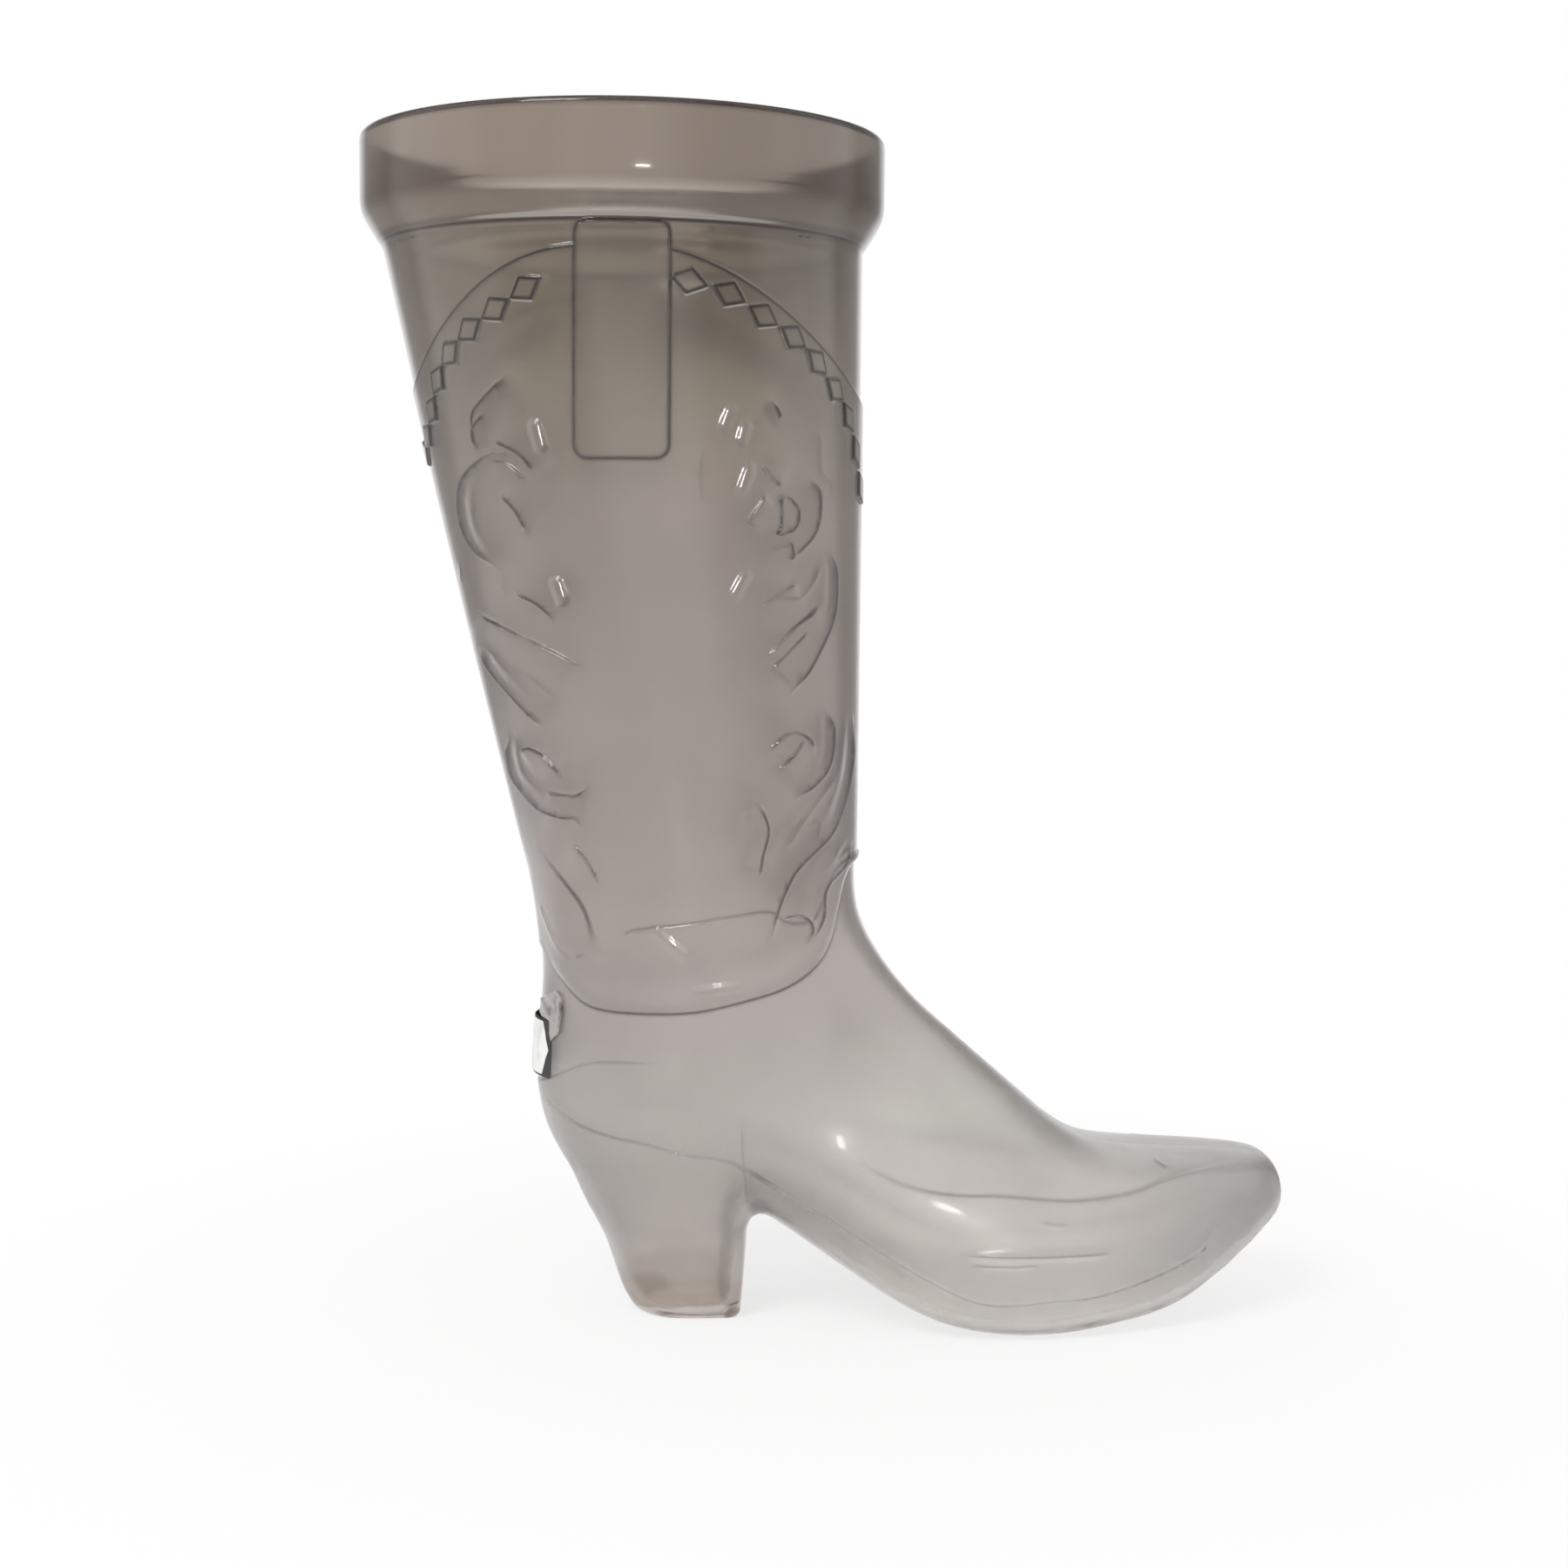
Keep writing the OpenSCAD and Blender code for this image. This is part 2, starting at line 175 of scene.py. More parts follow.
# Outline of the collar: radius over height, with a crisp inner corner under a sloping shoulder
COLLAR = np.array([(0.0, -148.5), (190.6, 42.1), (191.6, 43.1), (194.0, 44.6), (195.8, 45.6),
                   (197.2, 46.05), (198.6, 46.2), (220.0, 46.2)])


def collar_form(x, y, z, grow):
    """The round collar, on the same scale as the other forms."""
    radius = np.interp(z, COLLAR[:, 0], COLLAR[:, 1]) + grow
    return (np.hypot(x - MOUTH_X, y) - radius) / 10


def with_slope(form, p, grow):
    """Signed distance from a form in mm, and its direction."""
    x, y, z = p.T
    step = 0.02
    value = form(x, y, z, grow)
    slope = np.stack([form(x + step, y, z, grow) - value, form(x, y + step, z, grow) - value,
                      form(x, y, z + step, grow) - value], 1) / step
    length = np.linalg.norm(slope, axis=1) + 1e-9
    return value / length, slope / length[:, None]


def joined(a, b, radius):
    """Two forms run into each other with a fillet. A negative radius keeps what both hold."""
    (da, na), (db, nb), sign = a, b, np.sign(radius)
    radius = abs(radius)
    h = np.clip(0.5 + 0.5 * sign * (db - da) / radius, 0, 1)
    return (db * (1 - h) + da * h - sign * radius * h * (1 - h),
            nb * (1 - h[:, None]) + na * h[:, None])


def half_space(p, axis, place, sign):
    """All that lies before a flat cut."""
    direction = np.zeros_like(p)
    direction[:, axis] = sign
    return sign * (p[:, axis] - place), direction


def shell_distance(p, grow):
    """Distance from the outside (grow 0) or the inside (grow -WALL) of the boot."""
    floor = -grow
    boot = joined(with_slope(boot_form, p, grow), half_space(p, 2, floor, -1), -FLOOR_EDGE)
    boot = joined(boot, half_space(p, 0, TOE_X + grow, 1), -TOE_EDGE)
    boot = joined(boot, half_space(p, 2, COLLAR_Z - 2, 1), -FLOOR_EDGE)
    boot = joined(boot, with_slope(collar_form, p, grow), COLLAR_FILLET if grow == 0 else THROAT_FILLET)
    heel = joined(with_slope(heel_form, p, grow), half_space(p, 2, floor, -1), -HEEL_EDGE)
    heel = joined(heel, half_space(p, 2, HEEL_TOP, 1), -HEEL_EDGE)
    return joined(boot, heel, HEEL_FILLET)


def outward(p):
    """The way off the outside of the boot at each place."""
    n = shell_distance(p, 0)[1]
    return n / np.linalg.norm(n, axis=1)[:, None]


def onto_shell(p, grow, rounds):
    """Moves places onto the outside or the inside, a little closer each round."""
    for _ in range(rounds):
        d, n = shell_distance(p, grow)
        p = p - (np.clip(d, -1.5, 1.5) / np.maximum((n ** 2).sum(1), 0.3))[:, None] * n
    return p


# The net of triangles ends at this height, and regular rings go on from it
LIP_CUT = 190.0


def held(points, before):
    """Keeps what lay on the middle plane, or on the cut under the collar, where it lay."""
    points = points.copy()
    points[np.abs(before[:, 1]) < 1e-3, 1] = 0
    points[np.abs(before[:, 2] - LIP_CUT) < 1e-3, 2] = LIP_CUT
    return points


def net_mesh(grow, cell):
    """Triangles over the near half of the shell's outside or inside, from a net with a vertex in each cell
    of a grid that the shell crosses. The net ends on the middle plane and on the cut under the collar."""
    low, high = np.array([-36.0, -48.0, -3.0]), np.array([139.0, 0.0, LIP_CUT])
    count = np.ceil((high - low) / cell).astype(int) + 1
    xs, ys, zs = (high[i] + cell * (np.arange(count[i] + 1) - count[i] + 0.5) for i in range(3))
    gx, gz = np.meshgrid(xs, zs, indexing="ij")
    gx, gz, gy = gx[..., None], gz[..., None], ys[None, None, :]
    forms = []
    for form in (boot_form, collar_form, heel_form):
        value = form(gx, gy, gz, grow) + np.zeros((len(xs), len(zs), len(ys)))
        slope = np.sqrt(sum(g ** 2 for g in np.gradient(value, cell)))
        forms.append(value / np.maximum(slope, 1e-6))
    boot, collar, heel = forms
    boot = np.maximum(np.maximum(boot, -grow - gz), np.maximum(gx - TOE_X - grow, gz - COLLAR_Z + 2))
    heel = np.maximum(np.maximum(heel, -grow - gz), gz - HEEL_TOP)
    inside = np.minimum(np.minimum(boot, collar), heel) < 0
    corners = sum(inside[i:len(xs) - 1 + i, j:len(zs) - 1 + j, k:len(ys) - 1 + k].astype(int)
                  for i in (0, 1) for j in (0, 1) for k in (0, 1))
    crossed = (corners > 0) & (corners < 8)
    index = np.full(crossed.shape, -1)
    index[crossed] = np.arange(crossed.sum())
    i, j, k = np.nonzero(crossed)
    points = np.stack([xs[i], ys[k], zs[j]], 1) + cell / 2
    quads = []
    for axis in range(3):
        others = [a for a in range(3) if a != axis]
        first = np.take(inside, np.arange(inside.shape[axis] - 1), axis)
        second = np.take(inside, np.arange(1, inside.shape[axis]), axis)
        for flip in (False, True):
            at = np.stack(np.nonzero((second & ~first) if flip else (first & ~second)), 1)
            at = at[np.all([(at[:, a] > 0) & (at[:, a] < crossed.shape[a]) for a in others], 0)]
            ring = []
            for da, db in ((0, 0), (1, 0), (1, 1), (0, 1)):
                cell_at = at.copy()
                cell_at[:, others[0]] -= da
                cell_at[:, others[1]] -= db
                ring.append(index[tuple(cell_at.T)])
            ring = np.stack(ring, 1)
            quads.append(ring[:, ::-1] if flip != (axis == 1) else ring)
    quads = np.vstack(quads)
    used, quads = np.unique(quads, return_inverse=True)
    points, quads = points[used], quads.reshape(-1, 4)
    ends = np.sort(np.vstack([quads[:, [0, 1]], quads[:, [1, 2]], quads[:, [2, 3]], quads[:, [3, 0]]]), 1)
    ends, uses = np.unique(ends, axis=0, return_counts=True)
    border = np.zeros(len(points), bool)
    border[ends[uses == 1]] = True
    ends = ends[(uses == 1) | ~border[ends].all(1)]
    last = 11
    for turn in range(last + 1):
        total, number = np.zeros_like(points), np.zeros(len(points))
        for a, b in ((0, 1), (1, 0)):
            pull = ~border[ends[:, a]] | border[ends[:, b]]
            np.add.at(total, ends[pull, a], points[ends[pull, b]])
            np.add.at(number, ends[pull, a], 1)
        moved = points + 0.6 * (total / np.maximum(number, 1)[:, None] - points)
        points = held(onto_shell(held(moved, points), grow, 1 if turn < last else 4), points)
    shorter = (np.linalg.norm(points[quads[:, 0]] - points[quads[:, 2]], axis=1)
               < np.linalg.norm(points[quads[:, 1]] - points[quads[:, 3]], axis=1))
    a, b = quads[shorter], quads[~shorter]
    return points, np.vstack([a[:, [0, 1, 2]], a[:, [0, 2, 3]], b[:, [1, 2, 3]], b[:, [1, 3, 0]]])


SHORT_EDGE = 0.32


def finer(points, triangles, wanted, grow):
    """Splits every edge that is longer than wanted at its middle, with no open joints."""
    ends = np.sort(np.vstack([triangles[:, [0, 1]], triangles[:, [1, 2]], triangles[:, [2, 0]]]), 1)
    edges, place = np.unique(ends, axis=0, return_inverse=True)
    middle = points[edges].mean(1)
    length = np.linalg.norm(points[edges[:, 0]] - points[edges[:, 1]], axis=1)
    split = length > SHORT_EDGE
    split[split] = length[split] > wanted(middle[split])
    number = np.full(len(edges), -1)
    number[split] = len(points) + np.arange(split.sum())
    new = middle[split]
    points = np.vstack([points, held(onto_shell(new, grow, 2), new)])
    m = number[place.reshape(3, -1).T]
    marked = m >= 0
    total = marked.sum(1)
    out = [triangles[total == 0]]
    for turn in range(3):
        t, c = np.roll(triangles, -turn, 1), np.roll(m, -turn, 1)
        k = np.roll(marked, -turn, 1)
        one = (total == 1) & k[:, 0]
        out += [np.stack([t[one, 0], c[one, 0], t[one, 2]], 1), np.stack([c[one, 0], t[one, 1], t[one, 2]], 1)]
        two = (total == 2) & k[:, 0] & k[:, 1]
        out += [np.stack([c[two, 0], t[two, 1], c[two, 1]], 1), np.stack([t[two, 0], c[two, 0], c[two, 1]], 1),
                np.stack([t[two, 0], c[two, 1], t[two, 2]], 1)]
    t, c = triangles[total == 3], m[total == 3]
    out += [np.stack([t[:, 0], c[:, 0], c[:, 2]], 1), np.stack([t[:, 1], c[:, 1], c[:, 0]], 1),
            np.stack([t[:, 2], c[:, 2], c[:, 1]], 1), c]
    return points, np.vstack(out)


# Half shells: relief
# A pull strap, an arched panel, a rolled yoke round the ankle, a welt and a few creases stand a
# little proud of the form, and scrolled leaves run down the panel. All are cut into the mould.
PANEL_UP, YOKE_UP, YOKE_SWELL, LEAF_UP, SLOPE = 0.5, 0.8, 0.35, 0.85, 0.5
WELT_UP, SOLE_UP, CREASE_UP, COUNTER_UP = 0.25, 0.35, 0.4, 0.22
# Height of the inner corner under the collar, where the strap ends
CORNER_Z = 190.9
# The strap's left, right, low and high side, and the radius of its corners
STRAP = (6.1, 21.4, 152.9, CORNER_Z, 2.3)
YOKE_LOW = [(-7, 75), (-3.4, 70.6), (-0.2, 66.9), (3, 62.9), (6.8, 59.3), (11, 58.1), (18.9, 58), (26.5, 58.4),
            (34.4, 60), (42.4, 62.2), (47.7, 65.5), (50.5, 69.8), (52, 75.8), (53.5, 80.9), (56.2, 82.9), (61, 85)]
YOKE_TOP = [(-7, 92.5), (-3.4, 89.6), (-0.8, 86.2), (3.1, 82.1), (5.7, 79), (7.4, 76.7), (8.8, 73.4), (10, 70.3),
            (12.4, 70.6), (16.1, 72.9), (24.9, 74.3), (33.1, 75.6), (38.9, 76.2), (41.6, 74.2), (44.6, 73.8),
            (46.6, 74.2), (48.3, 77.7), (49.9, 81.8), (52.5, 84), (56.7, 84.6), (61, 86)]
WELT = [(-4, 41.4), (1, 39.6), (5.3, 37.1), (11.8, 35.2), (18.4, 34.1), (25.1, 32.3), (29.8, 31.7), (34.4, 30.3),
        (42.5, 25.5), (51.6, 20.3), (60.6, 14.8), (69.1, 10), (76.4, 7), (83, 6.6), (89.6, 7.2), (97.3, 7.6),
        (107.4, 10), (115.9, 13.1), (122.8, 18.1), (127.5, 21.8), (136, 27)]
CREASE = [(51.4, 33.7), (61.9, 27.8), (71.2, 25.6), (80.7, 25.1), (93.6, 23.8), (104.1, 24.6), (111.6, 26.3),
          (119.5, 27.4), (127.5, 28), (137, 28.4)]
COUNTER = [(-4, 40.5), (2.5, 45.1), (7.2, 47.9), (11.8, 48.9), (19.4, 48.9), (24, 48)]
# Scrolls run downwards, each with the side on which its leaf lies: 1 on the left of the way down
SCROLLS = [
    (1, [(-2.7, 153.9), (-8.7, 153.6), (-12.7, 150.4), (-13.7, 146), (-13.1, 141.7), (-11.4, 138.2), (-9.1, 136),
         (-6.3, 134.4)]),
    (1, [(-6.5, 146.8), (-4, 144.5), (-1.9, 140.7)]),
    (-1, [(-11.2, 127.1), (-6.1, 124.9), (-0.8, 122.5), (3.7, 120.4), (8.1, 117.9)]),
    (1, [(-10.9, 121.4), (-8.6, 117.1), (-5.4, 113.4), (-2.3, 110.2), (0.7, 107.2)]),
    (-1, [(-3.9, 103.1), (-1.5, 103.9), (1.3, 102.5), (4.2, 99.2)]),
    (1, [(-5.1, 106.3), (-5.7, 102.7), (-4.8, 98.3), (-2.9, 95.7), (-0.4, 93.2), (1.8, 92.2), (4.3, 91.7),
         (6.2, 91.6), (7.1, 89.3)]),
    (-1, [(1.2, 96.5), (4.6, 96.2), (6.6, 96.8), (7.8, 97.8)]),
    (-1, [(5.8, 87.5), (8.2, 85.2), (10.3, 81.3)]),
    (1, [(-8.6, 161), (-10.9, 158.3), (-10.5, 154.7)]),
    (-1, [(45, 150.8), (46.8, 148.4), (47.1, 145.7), (46.8, 142.8), (45.8, 140.2), (43.9, 138), (41.7, 135.9)]),
    (1, [(41.7, 147), (39.9, 146.8), (39.9, 142.6), (39.5, 140.7), (41.8, 140.8), (43.2, 142.7), (43.1, 145.3),
         (41.7, 147)]),
    (-1, [(48.4, 139.3), (49.9, 136.2), (50.3, 133.2), (50.2, 128.6), (49.3, 124.9), (47.6, 121.2), (45.4, 117.2),
          (43.2, 114.6), (41.7, 112.4)]),
    (1, [(47.4, 129.3), (45.1, 127.1), (42.9, 125.5), (40.2, 122.8), (37.3, 119.6)]),
    (1, [(45.3, 125), (42.1, 121.8), (38, 117.4)]),
    (-1, [(48.6, 110.9), (50, 108.2), (50.2, 105.1), (49.8, 102.1), (48.8, 99.6), (46.4, 97.1), (43.3, 95.3)]),
    (-1, [(38.7, 103.7), (39.9, 105.7), (42.1, 107), (44.6, 106.9), (46.2, 105.4), (46.8, 103.1)]),
    (-1, [(54.2, 110.4), (54.1, 104.7), (53.6, 99), (52.2, 93.4), (50.1, 88.7), (46.8, 85.6), (43.8, 82.8),
          (42.3, 80.1), (41.1, 77.2), (40, 73.1), (39.3, 68.8)]),
    (-1, [(37, 95.6), (38.9, 90.7), (37.9, 85.5), (37.5, 81.4)]),
    (-1, [(-7.6, 152.7), (-5.2, 152.4), (-3.3, 151.1), (-1.9, 149.5)]),
    (1, [(-7.6, 155.7), (-3.7, 153.8), (-1.9, 152.2), (-1, 150.3)]),
    (1, [(-4, 130.2), (-0.3, 128.6), (2.6, 126)]),
    (1, [(36.6, 152.2), (38.3, 149.8), (40.3, 148.7)]),
    (1, [(37.4, 147.5), (35.1, 144.1), (34.4, 141.8)]),
    (-1, [(41.9, 139.9), (42.5, 137.3), (41.9, 136.1)]),
    (1, [(43, 132.6), (39.6, 130.7), (36.7, 128.9)]),
    (1, [(44.4, 106.5), (42.8, 103.4), (39.8, 100.7)]),
    (-1, [(40.7, 74.7), (44.9, 75.2), (46.8, 73), (46.2, 70.1)]),
    (-1, [(54.6, 86.9), (52.5, 82.6), (49.2, 79.1), (48.6, 73.9), (46.2, 69.5)]),
    (1, [(-5.5, 166.5), (-9.4, 162.8), (-10.9, 160.6), (-10.9, 157)]),
    (-1, [(38.7, 162.5), (39.6, 161.2), (40, 159.7)])]
# Shallow marks, each with its height and the strength of its line of painted shade, which has a painted
# highlight beside it: the front of the heel, rubbed lines on the side of the ball, and faint veins between the leaves
MARKS = [(0.12, 0.3, [(34.7, 38.7), (35.2, 31.6), (36.2, 21.2)]),
         (0.16, 0.6, [(72.7, 15.3), (85, 14.9), (101.5, 15.1)]),
         (-0.14, 0.4, [(74.5, 13.6), (81.9, 13.3), (88, 13.7)]),
         (0.08, 0.3, [(87.5, 20.4), (90, 20.2), (92.6, 20.1)]),
         (0.1, 0.7, [(110.2, 28.6), (111.2, 28.1), (112.2, 27.7)]),
         (0.2, 0.35, [(51.2, 99.4), (47.7, 95.3), (43.9, 90.4), (41.1, 86.2)]),
         (0.1, 0.4, [(45.9, 90.7), (47.2, 91.2), (47.4, 90.1), (46.5, 88.7)]),
         (0.1, 0.4, [(6.6, 66.6), (7.4, 67.7), (8.6, 67.9)]),
         (0.15, 0.25, [(-0.4, 75.7), (1.4, 71.7), (3.3, 68.7), (5.7, 66.5)]),
         (0.1, 0.4, [(-13.9, 135.5), (-13.9, 133.9), (-14, 132.2)]),
         (0.1, 0.2, [(-5.7, 133.2), (-6.2, 131.6), (-5.4, 130.4)]),
         (0.15, 0.25, [(-2.2, 116.9), (0.7, 114.7), (2.6, 113.1)]),
         (0.2, 0.2, [(27.1, 154.5), (26.2, 150.7), (26.7, 146.8), (27.4, 144.6)]),
         (0.12, 0.28, [(44.7, 157.9), (46.8, 156.9), (47, 153.4), (47.4, 151.1), (49.1, 149.5), (49.4, 146.7)]),
         (0.15, 0.2, [(36.2, 137), (39.1, 138.2), (42, 139)]),
         (0.1, 0.35, [(39.3, 117.8), (40.6, 116.7), (41.8, 115.7)]),
         (0.2, 0.4, [(39.2, 130.2), (43.3, 130), (45.9, 132.7), (47.1, 136)])]
# Painted highlights: thin bright lines along some edges, each with its strength
PAINTED_GLEAMS = [(0.9, [(8.2, 190.2), (14, 190.1), (19.6, 190.2)]), (0.5, [(9, 187.9), (14, 187.7), (18.6, 187.8)]),
          (0.6, [(10.2, 172.9), (13, 172.5), (16, 173), (18.6, 172.7)]),
          (0.8, [(37, 148.3), (35.4, 146.3), (34.6, 144), (34.7, 141.7)]),
          (0.6, [(36.6, 95), (38.3, 90.7), (37.2, 85.5), (36.8, 81.4)])]
# Rounded tips of leaves and bosses, which catch the light: place, way in degrees, half the length, height
TIP_HALF = 1.5
TIPS = [(0.3, 156.5, 107, 1.8, 0.78), (3.8, 131, 111, 1.6, 0.84), (31, 159.6, 68, 1.4, 0.4),
        (33.6, 157.2, 72, 1.1, 0.5), (34.1, 149.7, 71, 1.8, 0.52), (33.3, 132.1, 62, 1.8, 0.44),
        (22.3, 70.8, 141, 2.8, 0.86), (30.1, 62.8, 7, 3.4, 0.92), (27.8, 32, 172, 1.2, 0.22),
        (62.4, 13.5, 136, 1, 0.33)]
# The rows of lozenges, along the arch behind and before the strap
LOZENGE_ROWS = [
    [(-1.7, 180.2), (-6.8, 177), (-12.1, 173.2), (-16.2, 167.9), (-18.1, 161.7), (-19.9, 154.8)],
    [(24.4, 181.4), (30.2, 179.9), (34.9, 177.4), (41.4, 173.6), (45.3, 170.4), (48.6, 166.4), (51.3, 163),
     (53.6, 156.6), (55, 149.2)]]


def arch_height(x):
    """Height of the panel's arched top, which falls off faster behind than in front."""
    panel_z = SHAFT_Z - 3.7
    ahead = panel_z - 24 * (np.maximum(x - MOUTH_X, 0) / SHAFT_R) ** 2
    behind = panel_z - 19.2 * (np.maximum(MOUTH_X - x, 0) / (0.83 * SHAFT_R)) ** 3
    return np.where(x > MOUTH_X, ahead, behind)


def rise(d, width):
    """0 outside a line, 1 from the width on inside it."""
    t = np.clip(d / width, 0, 1)
    return t * t * (3 - 2 * t)


def step_up(d):
    """The sloping side of a raised form, with the line in the middle of the slope."""
    return rise(d + SLOPE / 2, SLOPE)


def from_line(p, n, points, reach, steps=5):
    """Distance from a line of the side view, over 0 on the left of its way: along the surface and as
    seen from the side. Then how far the surface leans to the left, and the place along the line."""
    line = smooth_rows(points, steps)
    x, z = p[:, 0], p[:, 2]
    near = (x > line[:, 0].min() - reach) & (x < line[:, 0].max() + reach)
    near &= (z > line[:, 1].min() - reach) & (z < line[:, 1].max() + reach)
    x, z, n = x[near], z[near], n[near]
    best, side, along = np.full(x.shape, 1e6), np.ones(x.shape), np.zeros(x.shape)
    lean = np.ones(x.shape)
    done, total = 0.0, np.hypot(*np.diff(line, axis=0).T).sum()
    for a, b in zip(line[:-1], line[1:]):
        way = b - a
        length = math.hypot(*way)
        t = np.clip(((x - a[0]) * way[0] + (z - a[1]) * way[1]) / length ** 2, 0, 1)
        dx, dz = x - a[0] - t * way[0], z - a[1] - t * way[1]
        d = np.hypot(dx, dz)
        closer = d < best
        best = np.where(closer, d, best)
        side = np.where(closer, np.sign(way[0] * dz - way[1] * dx + 1e-12), side)
        lean = np.where(closer, side * (dx * n[:, 0] + dz * n[:, 2]) / (d + 1e-9), lean)
        along = np.where(closer, (done + t * length) / total, along)
        done += length
    out = np.array([1e6, 1e6, 0, 0])[:, None] + np.zeros(len(p))
    out[:, near] = side * best / np.sqrt(np.maximum(1 - lean ** 2, 0.06)), side * best, lean, along
    return out


def relief(p, n):
    """How far the surface stands proud, how strong a line of painted shade runs there, or a painted highlight
    below 0, and how near the next line is."""
    x, z = p[:, 0], p[:, 2]
    edge, gleam = np.zeros(len(p)), np.zeros(len(p))
    nearest = np.full(len(p), 1e6)

    def mark(d, seen, strength, width):
        """Draws a line of painted shade where seen is 0, and asks for small triangles along it."""
        edge[:] = np.maximum(edge, strength * np.exp(-(seen / width) ** 2))
        soft = np.clip(0.6 - np.asarray(strength), 0, 0.4)
        nearest[:] = np.minimum(nearest, np.where(np.asarray(strength) > 0.05, np.abs(d) + soft, 1e6))

    # The strap is a flat bar with round corners
    left, right, low, high, corner = STRAP
    qx = np.abs(x - (left + right) / 2) - (right - left) / 2 + corner
    qz = np.abs(z - (low + high) / 2) - (high - low) / 2 + corner
    strap_d = -(np.hypot(np.maximum(qx, 0), np.maximum(qz, 0)) + np.minimum(np.maximum(qx, qz), 0) - corner)
    strap = step_up(strap_d)
    beside = strap_d < -0.3
    # A line of painted shade runs round the strap
    mark(strap_d, strap_d, 1.0, 0.42)

    # The panel ends in the arch, which passes behind the strap
    gx = (arch_height(x + 0.1) - arch_height(x - 0.1)) / 0.2
    across = np.sqrt(np.maximum(gx ** 2 + 1 - (gx * n[:, 0] - n[:, 2]) ** 2, 0.06))
    arch_d = (arch_height(x) - z) / across
    upper = z > 120
    # A line of painted shade marks the arch above 120 mm, outside the strap
    mark(np.where(upper, arch_d, 1e6), arch_d * across / np.hypot(gx, 1) - 0.35, 1.0 * (beside & upper), 0.34)

    # The yoke has a rolled lower edge and a scalloped top with a gap, and fades towards the back seam
    low_d, low_seen = from_line(p, n, YOKE_LOW, 90)[:2]
    top_d, top_seen = from_line(p, n, YOKE_TOP, 90)[:2]
    top_d = -top_d
    fade = rise(x + 2, 6)
    inside = np.maximum(low_d, 0)
    roll = np.sqrt(1 - (1 - np.clip(inside / 2.4, 0, 1)) ** 2)
    share = inside / np.maximum(inside + np.maximum(top_d, 0), 0.1)
    yoke = roll * (YOKE_UP + YOKE_SWELL * np.sin(math.pi * np.clip(share, 0, 1))) * (0.35 + 0.65 * fade)
    gap = np.exp(-((x - 12.2) / 2.8) ** 4)
    yoke = np.where(top_d > -0.4, yoke * rise(top_d + 0.4, 0.8 + 3 * gap), 0)
    panel = PANEL_UP * step_up(arch_d) * rise(low_d + 0.1, SLOPE)
    # Painted shade on the yoke's lower and upper lines, and a painted highlight just inside the lower one
    mark(low_d, low_seen, 0.3 + 0.7 * fade, 0.38)
    gleam = np.maximum(gleam, fade * np.exp(-((low_seen - 2.2) / 0.5) ** 2) * (top_d > 0.5))
    mark(top_d, top_seen, 0.6 * fade * (1 - gap), 0.28)

    # A leaf is steep along its scroll and slopes off on its other side. Where it faces away from the side
    # view, its lines lie beside the step, where they are seen.
    leaf = np.zeros(len(p))
    on_panel = (arch_d > 2) & (low_d > 1.5)
    for side, points in SCROLLS:
        d, seen, lean, at = from_line(p, n, points, 9)
        d, seen, turned = d * side, seen * side, np.clip(0.5 - lean * side / 0.3, 0, 1)
        taper = rise(at, 0.18) * rise(1 - at, 0.18)
        if points[0] == points[-1]:
            taper = np.ones(len(p))
        lift = LEAF_UP * taper * step_up(d) * np.exp(-(np.maximum(d - 0.25, 0) / 4.2) ** 1.6)
        leaf = np.maximum(leaf, np.where(on_panel & (np.abs(d) < 9), lift, 0))
        # Painted shade along each scroll's step, and a painted highlight beside it
        mark(np.where(on_panel, d, 1e6), seen - 0.55 * turned, (0.6 + 0.4 * turned) * taper * on_panel,
             0.2 + 0.12 * turned)
        gleam = np.maximum(gleam, taper * on_panel * np.exp(-((seen + 0.5 - 0.5 * turned) / 0.28) ** 2))
    for tip_x, tip_z, turn, half, lift in TIPS:
        way = np.array([math.cos(math.radians(turn)), math.sin(math.radians(turn))])
        t = np.clip((x - tip_x) * way[0] + (z - tip_z) * way[1], -half, half)
        d = np.hypot(x - tip_x - t * way[0], z - tip_z - t * way[1])
        leaf += lift * np.maximum(1 - (d / TIP_HALF) ** 2, 0) ** 2
        nearest = np.minimum(nearest, np.maximum(d - 1.2, 0))
    height = np.maximum(np.maximum(panel, yoke) + leaf * (1 - 0.5 * rise(top_d, 0.6)), strap)
    height *= rise(SHAFT_Z + 1.2 - z, 1.0)

    # The foot has a welt above the sole, a crease over the ball and a curved seam at the back of the heel
    # Each has a line of painted shade along it
    welt_d, welt_seen = from_line(p, n, WELT, 60)[:2]
    sole = rise(x - 32, 14)
    toe = rise(np.abs(n[:, 1]) - 0.2, 0.55)
    height += (WELT_UP + SOLE_UP * sole) * step_up(-welt_d) * toe
    mark(welt_d, welt_seen, (0.3 + 0.1 * sole) * toe * rise(122 - x, 16), 0.25)
    crease_d, crease_seen, _, at = from_line(p, n, CREASE, 16)
    fade = rise(at, 0.3) * rise(132 - x, 14) * rise(np.abs(n[:, 1]) - 0.15, 0.45)
    height += CREASE_UP * fade * rise(-crease_d + 0.5, 1.0) * np.exp(-(np.maximum(-crease_d, 0) / 7) ** 2)
    mark(crease_d, crease_seen, 0.5 * fade, 0.35)
    counter_d, counter_seen, _, at = from_line(p, n, COUNTER, 12)
    fade = rise(1 - at, 0.4)
    height += COUNTER_UP * fade * rise(-counter_d + 0.3, 0.6) * np.exp(-(np.maximum(-counter_d, 0) / 5) ** 2)
    mark(counter_d, counter_seen, 0.3 * fade, 0.25)
    for lift, strength, points in MARKS:
        d, seen, _, at = from_line(p, n, points, 5)
        taper = rise(at, 0.2) * rise(1 - at, 0.2)
